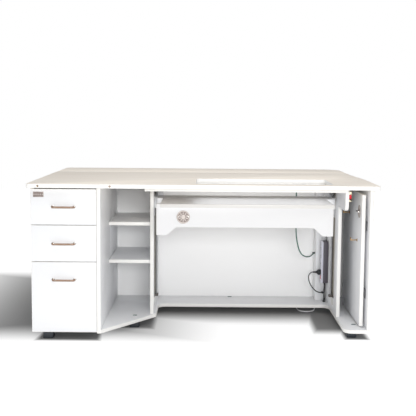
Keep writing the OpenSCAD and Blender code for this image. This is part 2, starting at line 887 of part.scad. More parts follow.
// On the panel: two moving slide halves with their spacers, a thumb pull and hooks
module rack_fittings() {
    place() {
        color("silver") for (z = rack_slide_z)
            board([rack_right + joint_gap, right_in - rack_slide_t / 2 - gap],
                [rack_y + 6, rack_y + 6 + rack_slide_l],
                [z - rack_slide_h / 2 + 5, z + rack_slide_h / 2 - 5]);
        color([0.63, 0.5, 0.4]) {
            rod_x([rack_left - 2.5, rack_left], rack_y + 65, under_top - pull_drop, pull_r);
            board([rack_left - 4, rack_left - 1], [rack_y + 68 - pull_r, rack_y + 62 + pull_r],
                [under_top - pull_drop - 3, under_top - pull_drop + 3]);
        }
        color([0.75, 0.6, 0.35]) for (p = hook_at) {
            z = under_top - p.y;
            rod_x([rack_left - hook_l, rack_left], p.x, z, hook_r);
            rod_z(rack_left - hook_l + 3, p.x, [z - 1, z + 14], hook_r - 0.4);
        }
    }
}

module rack_runners() {
    place() color("silver") for (z = rack_slide_z)
        board([right_in - rack_slide_t / 2, right_in], [rack_y + 3, rack_y + 3 + rack_slide_l],
            [z - rack_slide_h / 2, z + rack_slide_h / 2]);
}

// Lift switch: a box on the wing's outer face with a rocker in its front

switch_mid = [divider_out + switch_w / 2, switch_z + switch_h / 2];

module lift_switch_body() {
    half_w = rocker_w / 2 + rocker_gap;
    half_h = rocker_h / 2 + 1;
    place() color([0.95, 0.92, 0.8]) difference() {
        board([divider_out, divider_out + switch_w], [switch_y, switch_y + switch_d],
            [switch_z, switch_z + switch_h]);
        board([switch_mid.x - half_w, switch_mid.x + half_w], [switch_y - 1, switch_y + rocker_pocket],
            [switch_mid.y - half_h, switch_mid.y + half_h]);
    }
}

// A rocker that stands out along X from the floor of its pocket
module rocker(w, h, out) {
    plate_y([-w / 2, w / 2], [[1.6, 3.2 - h / 2], [out - 1, -h / 2], [out + 2, -h / 2],
        [out + 0.4, 0], [out + 2, h / 2], [out - 1, h / 2], [1.6, h / 2 - 3.2]]);
}

module lift_switch_rocker() {
    place() color([0.88, 0.1, 0.18])
        translate([switch_mid.x, switch_y + rocker_pocket, switch_mid.y]) rotate([0, 0, -90])
        rocker(rocker_w, rocker_h, rocker_pocket);
}

// Power board on the right divider: its sockets face the kneehole

module power_board_housing() {
    place() color([0.33, 0.31, 0.35]) plate_x([knee_right - board_t + board_face_t, knee_right],
        rectangle(board_y, board_z, 6));
}

module power_board_face() {
    x = knee_right - board_t;
    place() color([0.84, 0.84, 0.9]) difference() {
        plate_x([x, x + board_face_t], rectangle([board_y[0] + 1, board_y[1] - 1],
            [board_z[0] + 1, board_z[1] - 1], 6));
        board([x - 1, x + board_face_t - 2], [plug_y - 7.6, plug_y + 7.6],
            [board_rocker_z - 11, board_rocker_z + 11]);
    }
}

module power_board_rocker() {
    pocket = board_face_t - 2;
    place() color([0.88, 0.1, 0.18])
        translate([knee_right - board_t + pocket, plug_y, board_rocker_z]) mirror([1, 0, 0])
        rocker(14, 20, pocket);
}

// Leads, plugs and glands

module gland_ring(r) {
    difference() {
        cylinder(r = r + 4, h = 8);
        translate([0, 0, -1]) cylinder(r = r, h = 10);
    }
}

module lead_glands() {
    top = control_path[0];
    entry = control_path[len(control_path) - 1];
    exit = appliance_path[len(appliance_path) - 1];
    floor_hole = board_path[len(board_path) - 1];
    mains = mains_path[0];
    place() color([0.25, 0.27, 0.28]) {
        translate(top) difference() {
            cylinder(r = control_r + 5, h = under_top - top.z);
            translate([0, 0, -1]) cylinder(r = control_r, h = 8);
        }
        translate([entry.x, entry.y, entry.z]) rotate([0, 90, 0]) difference() {
            cylinder(r = control_r + 3, h = duct_t);
            translate([0, 0, -1]) cylinder(r = control_r, h = duct_t + 2);
        }
        translate([exit.x, exit.y, exit.z]) rotate([-90, 0, 0]) difference() {
            cylinder(r = appliance_r + 3, h = duct_t);
            translate([0, 0, -1]) cylinder(r = appliance_r, h = duct_t + 2);
        }
        translate([floor_hole.x, floor_hole.y, floor_z]) difference() {
            cylinder(r = board_lead_r + 4, h = floor_hole.z - floor_z);
            translate([0, 0, 1]) cylinder(r = board_lead_r, h = 10);
        }
        difference() {
            board([mains.x - 10, mains.x + 10], [mains.y, mains.y + 22], [mains.z - 9, foot_h]);
            rod_y(mains.x, [mains.y - 1, mains.y + 8], mains.z, mains_r);
        }
    }
}

module control_lead() { place() color([0.25, 0.42, 0.38]) lead(control_path, control_r, 2); }
module appliance_lead() { place() color([0.15, 0.17, 0.18]) lead(appliance_path, appliance_r, 1); }
module board_lead() { place() color([0.15, 0.15, 0.16]) lead(board_path, board_lead_r, 1); }

module appliance_plug() {
    exit = appliance_path[0];
    x = knee_right - board_t;
    place() color([0.1, 0.1, 0.11]) {
        rod_x([exit.x + 18, x], exit.y, exit.z, 16);
        rod_x([exit.x, exit.x + 18.5], exit.y, exit.z, 6);
    }
}

module mains_lead() {
    place() color([0.93, 0.93, 0.93]) {
        lead(mains_path, mains_r, 2);
        lead(tail_path, mains_r, 1);
    }
}

module mains_coil() {
    w = 2 * mains_r;
    place() color([0.93, 0.93, 0.93]) translate([coil_at.x, coil_at.y, 0])
    rotate_extrude() translate([coil_r - w, 0]) square([2 * w - 0.1, coil_layers * w]);
}

module mains_plug() {
    p = tail_path[len(tail_path) - 1];
    place() color([0.93, 0.93, 0.93]) {
        rod_y(p.x, [p.y, p.y + 18.5], p.z, 6);
        rod_y(p.x, [p.y + 18, p.y + 50], p.z, plug_r);
        for (s = [-1, 1])
            rod_y(p.x + s * 9.5, [p.y + 49, p.y + 69], p.z, 2.4);
    }
}

main_top();
edge_inserts();
opening_frame();
bottom_board();
floor_plugs();
feet();
left_end_panel();
pedestal_side_panel();
left_divider();
right_divider();
right_end_panel();
back_panel();
shelves();
shelf_pins();
duct_post();
guide_rails();
screw_bearings();
lift_drives();
power_board_housing();
power_board_face();
power_board_rocker();
lift_switch_body();
lift_switch_rocker();
drawer_runners();
rack_runners();
leaf_hinges_fixed();
leaf_hinge_pins();
support_brackets();
support_pins();
lead_glands();
control_lead();
appliance_lead();
appliance_plug();
board_lead();
mains_lead();
mains_coil();
mains_plug();
back_leaf();
leaf_hinges_moving();
support_arm_left();
support_arm_right();
lift_platform();
apron();
medallion();
lift_arm_left();
lift_arm_right();
lift_nuts();
lead_screw_left();
lead_screw_right();
drawer_top_front();
drawer_top_box();
drawer_top_handle();
drawer_middle_front();
drawer_middle_box();
drawer_middle_handle();
drawer_bottom_front();
drawer_bottom_box();
drawer_bottom_handle();
rack_panel();
rack_fittings();
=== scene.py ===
import math

import bmesh
import bpy
from mathutils import Matrix, Vector


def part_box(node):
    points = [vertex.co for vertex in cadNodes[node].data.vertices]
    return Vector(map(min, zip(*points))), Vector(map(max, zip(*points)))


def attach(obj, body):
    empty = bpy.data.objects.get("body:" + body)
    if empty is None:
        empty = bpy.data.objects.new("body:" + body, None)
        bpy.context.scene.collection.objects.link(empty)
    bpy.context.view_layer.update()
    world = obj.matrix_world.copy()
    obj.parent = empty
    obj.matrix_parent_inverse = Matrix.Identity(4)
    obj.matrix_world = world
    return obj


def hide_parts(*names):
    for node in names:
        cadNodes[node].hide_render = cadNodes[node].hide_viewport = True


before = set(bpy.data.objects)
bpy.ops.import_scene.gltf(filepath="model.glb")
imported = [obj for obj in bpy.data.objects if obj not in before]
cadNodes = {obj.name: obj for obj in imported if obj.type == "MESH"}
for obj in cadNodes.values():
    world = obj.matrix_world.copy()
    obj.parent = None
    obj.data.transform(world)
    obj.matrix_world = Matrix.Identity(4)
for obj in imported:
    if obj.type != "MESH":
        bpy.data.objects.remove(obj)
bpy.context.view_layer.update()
scene = bpy.context.scene
scene.view_settings.view_transform = "Standard"
print("frame loaded:", len(cadNodes), "CAD nodes")

# Camera: a long lens in front of the table, a little above the top, tipped down
viewer = {
    "place": (0.013, -4.289, 1.120),
    "tilt": 84.5,
    "roll": 0.46,
    "lens": 67.07,
    "shiftX": 0.0048,
    "shiftY": -0.048,
}
cameraData = bpy.data.cameras.new("viewer")
cameraData.lens = viewer["lens"]
cameraData.sensor_width = 36
cameraData.shift_x = viewer["shiftX"]
cameraData.shift_y = viewer["shiftY"]
cameraData.clip_end = 60
camera = bpy.data.objects.new("viewer", cameraData)
camera.matrix_world = (
    Matrix.Translation(viewer["place"])
    @ Matrix.Rotation(math.radians(viewer["tilt"]), 4, "X")
    @ Matrix.Rotation(math.radians(viewer["roll"]), 4, "Z")
)
scene.collection.objects.link(camera)
scene.camera = camera


# Shared ways of making pieces

def ship(bm, name, materials, body, standsFor=(), sharp=38.0):
    # Turns a finished bmesh into a piece at the origin, riding on its body
    mesh = bpy.data.meshes.new(name)
    bm.to_mesh(mesh)
    bm.free()
    for material in materials if isinstance(materials, (list, tuple)) else [materials]:
        mesh.materials.append(material)
    mesh.polygons.foreach_set("use_smooth", [True] * len(mesh.polygons))
    mesh.set_sharp_from_angle(angle=math.radians(sharp))
    piece = bpy.data.objects.new(name, mesh)
    scene.collection.objects.link(piece)
    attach(piece, body)
    if standsFor:
        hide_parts(*standsFor)
    return piece


def bevelSharp(bm, width, segments, geom=None, angle=35.0):
    edges = [
        e for e in (geom or bm.edges)
        if len(e.link_faces) == 2 and e.calc_face_angle(0.0) > math.radians(angle)
    ]
    bmesh.ops.bevel(bm, geom=edges, offset=width, offset_type="OFFSET", segments=segments,
                    profile=0.5, affect="EDGES", clamp_overlap=True, material=-1)


def addBox(bm, low, high, width=0.0, segments=2, slotIndex=0):
    before = set(bm.verts)
    made = bmesh.ops.create_cube(bm, size=1.0)["verts"]
    size = Vector(high) - Vector(low)
    bmesh.ops.scale(bm, vec=size, verts=made)
    bmesh.ops.translate(bm, vec=(Vector(high) + Vector(low)) / 2, verts=made)
    faces = {f for v in made for f in v.link_faces}
    for face in faces:
        face.material_index = slotIndex
    if width:
        edges = {e for v in made for e in v.link_edges}
        bevelSharp(bm, width, segments, geom=list(edges))
        made = [v for v in bm.verts if v not in before]
    return made


def aim(axis):
    # Turns +Z to the axis
    return Vector((0, 0, 1)).rotation_difference(Vector(axis)).to_matrix().to_4x4()


def addTurned(bm, profile, place, axis, steps=32, slotIndex=0):
    # A turned part: the profile lists (radius, height) along the axis
    before = set(bm.faces)
    verts = [bm.verts.new((r, 0, h)) for r, h in profile]
    edges = [bm.edges.new((a, b)) for a, b in zip(verts, verts[1:])]
    bmesh.ops.spin(bm, geom=verts + edges, cent=(0, 0, 0), axis=(0, 0, 1), dvec=(0, 0, 0),
                   angle=math.tau, steps=steps, use_merge=True, use_duplicate=False)
    faces = [f for f in bm.faces if f not in before]
    made = list({v for f in faces for v in f.verts})
    bmesh.ops.remove_doubles(bm, verts=made, dist=1e-6)
    faces = [f for f in bm.faces if f not in before]
    made = list({v for f in faces for v in f.verts})
    bmesh.ops.recalc_face_normals(bm, faces=faces)
    for face in faces:
        face.material_index = slotIndex
    bmesh.ops.transform(bm, matrix=Matrix.Translation(place) @ aim(axis), verts=made)
    return made


def addScrew(bm, place, axis, radius=0.0032, slotIndex=0):
    # A countersunk screw's head with a round recess
    profile = [
        (0.0, radius * 0.12), (radius * 0.42, radius * 0.12), (radius * 0.5, radius * 0.42),
        (radius * 0.86, radius * 0.38), (radius, radius * 0.12), (radius, -radius * 0.2),
        (0.0, -radius * 0.2),
    ]
    return addTurned(bm, profile, place, axis, steps=14, slotIndex=slotIndex)


def islands(bm):
    left = set(bm.faces)
    found = []
    while left:
        grown = [left.pop()]
        todo = list(grown)
        while todo:
            for edge in todo.pop().edges:
                for face in edge.link_faces:
                    if face in left:
                        left.remove(face)
                        grown.append(face)
                        todo.append(face)
        found.append(grown)
    return found


def cadCopy(node):
    # A merged copy of a CAD node with its flat faces whole again
    bm = bmesh.new()
    bm.from_mesh(cadNodes[node].data)
    bmesh.ops.remove_doubles(bm, verts=bm.verts, dist=2e-6)
    bmesh.ops.dissolve_limit(bm, angle_limit=math.radians(0.4), verts=bm.verts, edges=bm.edges)
    return bm


def markEdging(bm):
    # Every board's narrow faces carry edging: the attribute tells them from its broad ones
    edging = bm.faces.layers.float.get("edging") or bm.faces.layers.float.new("edging")
    for faces in islands(bm):
        points = [v.co for f in faces for v in f.verts]
        size = [max(p[i] for p in points) - min(p[i] for p in points) for i in range(3)]
        thin = size.index(min(size))
        for face in faces:
            face[edging] = 0.0 if abs(face.normal[thin]) > 0.95 else 1.0


def boardPiece(node, name, body, material, width=0.0009):
    bm = cadCopy(node)
    bevelSharp(bm, width, 2)
    markEdging(bm)
    return ship(bm, name, material, body, standsFor=[node])


def metalPiece(node, name, body, material, width=0.0006, segments=2):
    bm = cadCopy(node)
    bevelSharp(bm, width, segments)
    return ship(bm, name, material, body, standsFor=[node])


def dress(node, material):
    # A CAD node that keeps its own mesh
    cad = cadNodes[node]
    cad.data.materials.clear()
    cad.data.materials.append(material)


# Materials: shared node groups first

def newGroup(name, inputs, outputs):
    group = bpy.data.node_groups.new(name, "ShaderNodeTree")
    for label, kind, value in inputs:
        socket = group.interface.new_socket(label, in_out="INPUT", socket_type=kind)
        socket.default_value = value
    for label, kind in outputs:
        group.interface.new_socket(label, in_out="OUTPUT", socket_type=kind)
    return group, group.nodes.new("NodeGroupInput"), group.nodes.new("NodeGroupOutput")


def addNode(tree, kind, links=(), **values):
    node = tree.nodes.new(kind)
    for key, value in values.items():
        if hasattr(node, key):
            setattr(node, key, value)
        else:
            node.inputs[key.replace("_", " ")].default_value = value
    for socket, source in dict(links).items():
        tree.links.new(source, node.inputs[socket])
    return node


def mixColour(tree, factor, first, second):
    # first and second are sockets or plain colours
    node = tree.nodes.new("ShaderNodeMix")
    node.data_type = "RGBA"
    for index, value in ((0, factor), (6, first), (7, second)):
        if isinstance(value, bpy.types.NodeSocket):
            tree.links.new(value, node.inputs[index])
        else:
            node.inputs[index].default_value = value
    return node.outputs[2]


def mathNode(tree, operation, a, b=0.0, clamp=False):
    node = tree.nodes.new("ShaderNodeMath")
    node.operation = operation
    node.use_clamp = clamp
    for index, value in ((0, a), (1, b)):
        if isinstance(value, bpy.types.NodeSocket):
            tree.links.new(value, node.inputs[index])
        else:
            node.inputs[index].default_value = value
    return node.outputs[0]


def noise(tree, vector, scale, detail=3.0, rough=0.55):
    return addNode(tree, "ShaderNodeTexNoise", {"Vector": vector},
                   Scale=scale, Detail=detail, Roughness=rough).outputs["Fac"]


def objectPlace(tree, scale=(1.0, 1.0, 1.0)):
    place = tree.nodes.new("ShaderNodeTexCoord").outputs["Object"]
    mapping = addNode(tree, "ShaderNodeMapping", {"Vector": place})
    mapping.inputs["Scale"].default_value = scale
    return mapping.outputs[0]


def makeBoardGroup():
    # Coated board: broad faces, edging in its own shade, and the fine pebble of the coating
    group, ins, outs = newGroup("coatedBoard", [
        ("Face Colour", "NodeSocketColor", (0.9, 0.9, 0.9, 1)),
        ("Edging Colour", "NodeSocketColor", (0.9, 0.9, 0.9, 1)),
        ("Tone", "NodeSocketFloat", 0.03),
    ], [("Colour", "NodeSocketColor"), ("Roughness", "NodeSocketFloat"), ("Height", "NodeSocketFloat")])
    place = objectPlace(group)
    broad = noise(group, place, 3.5, 4.0)
    pebble = noise(group, place, 900.0, 2.0)
    edging = group.nodes.new("ShaderNodeAttribute")
    edging.attribute_name = "edging"
    plain = mixColour(group, edging.outputs["Fac"], ins.outputs[0], ins.outputs[1])
    shade = mathNode(group, "MULTIPLY", broad, ins.outputs["Tone"])
    dulled = mixColour(group, shade, plain, (0.78, 0.77, 0.75, 1))
    group.links.new(dulled, outs.inputs["Colour"])
    rough = mathNode(group, "MULTIPLY_ADD", broad, 0.16)
    group.nodes[-1].inputs[2].default_value = 0.3
    group.links.new(rough, outs.inputs["Roughness"])
    group.links.new(pebble, outs.inputs["Height"])
    return group


def makeGrainGroup():
    # Straight pale grain that runs along X, in long streaks with fine pores
    group, ins, outs = newGroup("paleGrain", [
        ("Light", "NodeSocketColor", (0.8, 0.8, 0.8, 1)),
        ("Dark", "NodeSocketColor", (0.7, 0.7, 0.7, 1)),
        ("Contrast", "NodeSocketFloat", 0.5),
    ], [("Colour", "NodeSocketColor"), ("Roughness", "NodeSocketFloat"), ("Height", "NodeSocketFloat")])
    long = noise(group, objectPlace(group, (0.9, 14.0, 14.0)), 2.2, 5.0, 0.6)
    fine = noise(group, objectPlace(group, (4.0, 160.0, 160.0)), 3.0, 3.0, 0.5)
    both = mathNode(group, "ADD", mathNode(group, "MULTIPLY", long, 0.7), mathNode(group, "MULTIPLY", fine, 0.3))
    wide = mathNode(group, "MULTIPLY", mathNode(group, "SUBTRACT", both, 0.36, True), 3.4, True)
    mask = mathNode(group, "MULTIPLY", wide, ins.outputs["Contrast"])
    group.links.new(mixColour(group, mask, ins.outputs[0], ins.outputs[1]), outs.inputs["Colour"])
    rough = mathNode(group, "MULTIPLY_ADD", fine, 0.14)
    group.nodes[-1].inputs[2].default_value = 0.33
    group.links.new(rough, outs.inputs["Roughness"])
    group.links.new(fine, outs.inputs["Height"])
    return group


def makeMouldedGroup():
    # Moulded plastic, rubber and cast finishes: cloudy tone and a fine stipple
    group, ins, outs = newGroup("stipple", [
        ("Base", "NodeSocketColor", (0.5, 0.5, 0.5, 1)),
        ("Worn", "NodeSocketColor", (0.6, 0.6, 0.6, 1)),
        ("Wear", "NodeSocketFloat", 0.2),
        ("Grain Scale", "NodeSocketFloat", 700.0),
        ("Gloss", "NodeSocketFloat", 0.35),
    ], [("Colour", "NodeSocketColor"), ("Roughness", "NodeSocketFloat"), ("Height", "NodeSocketFloat")])
    place = objectPlace(group)
    cloud = noise(group, place, 26.0, 4.0, 0.6)
    stipple = addNode(group, "ShaderNodeTexNoise", {"Vector": place, "Scale": ins.outputs["Grain Scale"]},
                      Detail=2.0).outputs["Fac"]
    mask = mathNode(group, "MULTIPLY", cloud, ins.outputs["Wear"])
    group.links.new(mixColour(group, mask, ins.outputs["Base"], ins.outputs["Worn"]), outs.inputs["Colour"])
    spread = mathNode(group, "MULTIPLY", mathNode(group, "SUBTRACT", cloud, 0.5), 0.22)
    group.links.new(mathNode(group, "ADD", spread, ins.outputs["Gloss"], True), outs.inputs["Roughness"])
    group.links.new(stipple, outs.inputs["Height"])
    return group


def makeBrushedGroup():
    # Brushed or drawn metal: streaks along one axis, and darker tarnish in patches
    group, ins, outs = newGroup("brushed", [
        ("Base", "NodeSocketColor", (0.7, 0.7, 0.7, 1)),
        ("Tarnish", "NodeSocketColor", (0.4, 0.4, 0.4, 1)),
        ("Tarnish Share", "NodeSocketFloat", 0.3),
        ("Streaks", "NodeSocketVector", (4.0, 300.0, 300.0)),
        ("Gloss", "NodeSocketFloat", 0.25),
    ], [("Colour", "NodeSocketColor"), ("Roughness", "NodeSocketFloat"), ("Height", "NodeSocketFloat")])
    place = group.nodes.new("ShaderNodeTexCoord").outputs["Object"]
    mapping = addNode(group, "ShaderNodeMapping", {"Vector": place, "Scale": ins.outputs["Streaks"]})
    streak = noise(group, mapping.outputs[0], 4.0, 3.0)
    patch = noise(group, place, 45.0, 4.0)
    mask = mathNode(group, "MULTIPLY", patch, ins.outputs["Tarnish Share"])
    group.links.new(mixColour(group, mask, ins.outputs[0], ins.outputs[1]), outs.inputs["Colour"])
    spread = mathNode(group, "MULTIPLY", streak, 0.2)
    group.links.new(mathNode(group, "ADD", spread, ins.outputs["Gloss"], True), outs.inputs["Roughness"])
    group.links.new(streak, outs.inputs["Height"])
    return group


groups = {
    "board": makeBoardGroup(),
    "grain": makeGrainGroup(),
    "stipple": makeMouldedGroup(),
    "brushed": makeBrushedGroup(),
}


def linear(red, green, blue):
    # A colour given in 8-bit display steps
    def one(c):
        c = c / 255
        return c / 12.92 if c <= 0.04045 else ((c + 0.055) / 1.055) ** 2.4
    return (one(red), one(green), one(blue), 1.0)


def startMaterial(name):
    material = bpy.data.materials.new(name)
    material.use_nodes = True
    tree = material.node_tree
    return material, tree, tree.nodes["Principled BSDF"]


def useGroup(tree, shader, key, bump, distance, **values):
    group = tree.nodes.new("ShaderNodeGroup")
    group.node_tree = groups[key]
    for label, value in values.items():
        group.inputs[label.replace("_", " ")].default_value = value
    tree.links.new(group.outputs["Roughness"], shader.inputs["Roughness"])
    relief = addNode(tree, "ShaderNodeBump", {"Height": group.outputs["Height"]},
                     Strength=bump, Distance=distance)
    tree.links.new(relief.outputs[0], shader.inputs["Normal"])
    return group


def boardMaterial(name, face, edging, tone=0.05):
    material, tree, shader = startMaterial(name)
    group = useGroup(tree, shader, "board", 0.12, 0.0002, Face_Colour=face, Edging_Colour=edging, Tone=tone)
    tree.links.new(group.outputs["Colour"], shader.inputs["Base Color"])
    shader.inputs["Specular IOR Level"].default_value = 0.4
    return material


def laminateMaterial(name, light, dark, edging):
    # The grain shows on broad faces only; the edging is plain
    material, tree, shader = startMaterial(name)
    grain = useGroup(tree, shader, "grain", 0.08, 0.0002, Light=light, Dark=dark, Contrast=0.55)
    mask = tree.nodes.new("ShaderNodeAttribute")
    mask.attribute_name = "edging"
    tree.links.new(mixColour(tree, mask.outputs["Fac"], grain.outputs["Colour"], edging),
                   shader.inputs["Base Color"])
    shader.inputs["Specular IOR Level"].default_value = 0.45
    return material


def plasticMaterial(name, base, worn, gloss, wear=0.25, grainScale=700.0, bump=0.15, coat=0.0):
    material, tree, shader = startMaterial(name)
    group = useGroup(tree, shader, "stipple", bump, 0.0002, Base=base, Worn=worn, Wear=wear,
                     Grain_Scale=grainScale, Gloss=gloss)
    tree.links.new(group.outputs["Colour"], shader.inputs["Base Color"])
    shader.inputs["Coat Weight"].default_value = coat
    return material


def metalMaterial(name, base, tarnish, gloss, share=0.3, streaks=(4.0, 300.0, 300.0), metallic=1.0):
    material, tree, shader = startMaterial(name)
    group = useGroup(tree, shader, "brushed", 0.06, 0.0001, Base=base, Tarnish=tarnish,
                     Tarnish_Share=share, Streaks=streaks, Gloss=gloss)
    tree.links.new(group.outputs["Colour"], shader.inputs["Base Color"])
    shader.inputs["Metallic"].default_value = metallic
    return material


along = {"x": (4.0, 300.0, 300.0), "y": (300.0, 4.0, 300.0), "z": (300.0, 300.0, 4.0)}
white = boardMaterial("whiteBoard", linear(238, 239, 241), linear(242, 241, 238))
# A darker copy of the board white: painted shade for the lift's platform and apron, recessed under the top
whiteLiftPaintedShade = boardMaterial("whiteLiftBoardPaintedShade", linear(227, 227, 228), linear(222, 220, 217))
# A brighter copy of the board white: painted light for the back board deep in the kneehole
whiteBackPaintedLight = boardMaterial("whiteBackBoardPaintedLight", linear(252, 252, 252), linear(248, 247, 245))
drawerBoard = boardMaterial("drawerBoard", linear(232, 230, 225), linear(226, 222, 214), 0.12)
laminate = laminateMaterial("topLaminate", linear(246, 239, 229), linear(231, 219, 204), linear(244, 243, 240))
zinc = metalMaterial("zincSteel", linear(196, 198, 200), linear(140, 142, 146), 0.26, streaks=along["y"])
screwSteel = metalMaterial("screwSteel", linear(170, 172, 175), linear(96, 96, 98), 0.22, streaks=along["z"])
darkSteel = plasticMaterial("darkPaintedSteel", linear(74, 68, 64), linear(112, 106, 100), 0.42, 0.3)
railSteel = plasticMaterial("railSteel", linear(186, 181, 170), linear(158, 153, 142), 0.4, 0.3)
whiteSteel = plasticMaterial("whitePowderCoat", linear(240, 241, 243), linear(222, 223, 224), 0.4, 0.2, 1100.0, 0.25)
bronze = metalMaterial("satinBronze", linear(208, 200, 195), linear(136, 122, 116), 0.34, 0.6, along["z"], 0.7)
bronzeDark = metalMaterial("darkBronze", linear(160, 148, 143), linear(94, 82, 78), 0.42, 0.8, along["z"], 0.6)
brass = metalMaterial("brass", linear(196, 158, 104), linear(112, 84, 50), 0.28, 0.5, along["x"])
# The handle bar is satin nickel; its brown tone is a painted reflection of the surroundings
handleBarPaintedReflection = metalMaterial("handleBarPaintedReflection", linear(172, 146, 127), linear(136, 112, 96), 0.36, 0.5, along["x"], 0.75)
handleEnd = metalMaterial("handleNickel", linear(226, 224, 220), linear(150, 148, 146), 0.12, 0.2, along["y"])
feetPlastic = plasticMaterial("feetPlastic", linear(36, 41, 47), linear(62, 66, 72), 0.5, 0.4)
greyPlastic = plasticMaterial("greyPlastic", linear(86, 82, 90), linear(112, 108, 116), 0.4, 0.3)
palePlastic = plasticMaterial("palePlastic", linear(218, 218, 231), linear(204, 204, 216), 0.3, 0.3, coat=0.2)
creamPlastic = plasticMaterial("creamPlastic", linear(246, 237, 205), linear(228, 216, 180), 0.3, 0.3, coat=0.2)
redPlastic = plasticMaterial("redPlastic", linear(224, 26, 52), linear(190, 16, 38), 0.22, 0.3, coat=0.4)
darkRubber = plasticMaterial("darkRubber", linear(38, 42, 44), linear(64, 66, 68), 0.55, 0.35, 500.0, 0.3)
greenSheath = plasticMaterial("greenSheath", linear(62, 104, 92), linear(84, 122, 110), 0.38, 0.35, 420.0, 0.2)
whiteSheath = plasticMaterial("whiteSheath", linear(238, 238, 240), linear(220, 220, 222), 0.36, 0.3, 420.0, 0.2)
plugGrey = plasticMaterial("plugCaps", linear(84, 104, 104), linear(108, 126, 124), 0.45, 0.3)
# Black slabs that stand for the dark inside the socket holes: painted shade
socketHolePaintedShade = plasticMaterial("socketHolePaintedShade", linear(24, 24, 26), linear(40, 40, 42), 0.6, 0.2)
print("materials made")


# Cords: the points that each follows, smoothed into one curve

def smoothRoute(points, steps=6):
    points = [Vector(p) for p in points]
    line = []
    for i in range(len(points) - 1):
        a, b = points[max(i - 1, 0)], points[i]
        c, d = points[i + 1], points[min(i + 2, len(points) - 1)]
        for j in range(steps):
            t = j / steps
            line.append(0.5 * (2 * b + (c - a) * t + (2 * a - 5 * b + 4 * c - d) * t * t
                               + (3 * b - a - 3 * c + d) * t ** 3))
    line.append(points[-1])
    return line


def routeLength(line):
    return sum((b - a).length for a, b in zip(line, line[1:]))


def makeCord(name, line, diameter, material):
    curve = bpy.data.curves.new(name, "CURVE")
    curve.dimensions = "3D"
    curve.bevel_depth = diameter / 2
    curve.bevel_resolution = 4
    curve.use_fill_caps = True
    spline = curve.splines.new("POLY")
    spline.points.add(len(line) - 1)
    for point, place in zip(spline.points, line):
        point.co = (*place, 1)
    curve.materials.append(material)
    cord = bpy.data.objects.new(name, curve)
    scene.collection.objects.link(cord)
    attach(cord, "cabinet")
    return cord


controlLead = {"diameter": 0.007, "route": [
    (0.515, -0.010, 0.744), (0.515, -0.010, 0.720), (0.515, -0.010, 0.680), (0.515, -0.009, 0.630),
    (0.515, -0.008, 0.580), (0.515, -0.006, 0.530), (0.517, -0.003, 0.485), (0.521, 0.003, 0.440),
    (0.529, 0.013, 0.396), (0.541, 0.027, 0.358), (0.558, 0.045, 0.330), (0.579, 0.066, 0.315),
    (0.600, 0.090, 0.308), (0.617, 0.116, 0.307), (0.630, 0.138, 0.311), (0.640, 0.153, 0.316),
    (0.648, 0.160, 0.318),
]}
applianceLead = {"diameter": 0.006, "route": [
    (0.630, 0.072, 0.223), (0.621, 0.072, 0.222), (0.612, 0.073, 0.216), (0.606, 0.075, 0.205),
    (0.604, 0.078, 0.190), (0.607, 0.081, 0.172), (0.614, 0.084, 0.153), (0.624, 0.086, 0.136),
    (0.637, 0.088, 0.120), (0.651, 0.091, 0.108), (0.665, 0.095, 0.101), (0.677, 0.101, 0.098),
    (0.686, 0.110, 0.096), (0.690, 0.120, 0.095),
]}
boardLead = {"diameter": 0.007, "route": [
    (0.695, 0.072, 0.164), (0.695, 0.072, 0.150), (0.694, 0.073, 0.130), (0.693, 0.075, 0.110),
    (0.693, 0.077, 0.090), (0.694, 0.078, 0.070), (0.694, 0.078, 0.055),
]}
mainsLead = {"diameter": 0.0064, "route": [
    (0.643, 0.120, 0.0180), (0.643, 0.110, 0.0175), (0.643, 0.099, 0.0140), (0.642, 0.087, 0.0085),
    (0.639, 0.075, 0.0044), (0.633, 0.060, 0.0033), (0.621, 0.044, 0.0033), (0.605, 0.034, 0.0033),
    (0.587, 0.032, 0.0033), (0.569, 0.036, 0.0033), (0.555, 0.047, 0.0033), (0.546, 0.064, 0.0033),
    (0.543, 0.084, 0.0033), (0.543, 0.120, 0.0033), (0.544, 0.160, 0.0033), (0.545, 0.200, 0.0033),
    (0.546, 0.240, 0.0033), (0.546, 0.280, 0.0033), (0.545, 0.320, 0.0033), (0.544, 0.360, 0.0033),
], "tail": [
    (0.544, 0.360, 0.0224), (0.544, 0.375, 0.0214), (0.544, 0.390, 0.0190), (0.544, 0.405, 0.0160),
    (0.544, 0.418, 0.0144), (0.544, 0.430, 0.0140),
]}
coil = {"centre": (0.5056, 0.360), "radius": 0.0352, "layers": 4, "stepsPerTurn": 36, "shift": 0.16}


def coilTurns():
    # Two rings in each layer, wound out to in and in to out by turns, then up
    half = mainsLead["diameter"] / 2
    rings = []
    for layer in range(coil["layers"]):
        pair = [coil["radius"] + half, coil["radius"] - half]
        for radius in pair if layer % 2 == 0 else pair[::-1]:
            rings.append((radius, 0.0033 + layer * mainsLead["diameter"]))
    line = []
    for turn, (radius, height) in enumerate(rings):
        after = rings[min(turn + 1, len(rings) - 1)]
        for step in range(coil["stepsPerTurn"]):
            share = step / coil["stepsPerTurn"]
            blend = max(0.0, (share - 1 + coil["shift"]) / coil["shift"])
            blend = blend * blend * (3 - 2 * blend)
            r = radius + (after[0] - radius) * blend
            z = height + (after[1] - height) * blend
            angle = math.tau * share
            line.append(Vector((coil["centre"][0] + r * math.cos(angle),
                                coil["centre"][1] + r * math.sin(angle), z)))
    return line


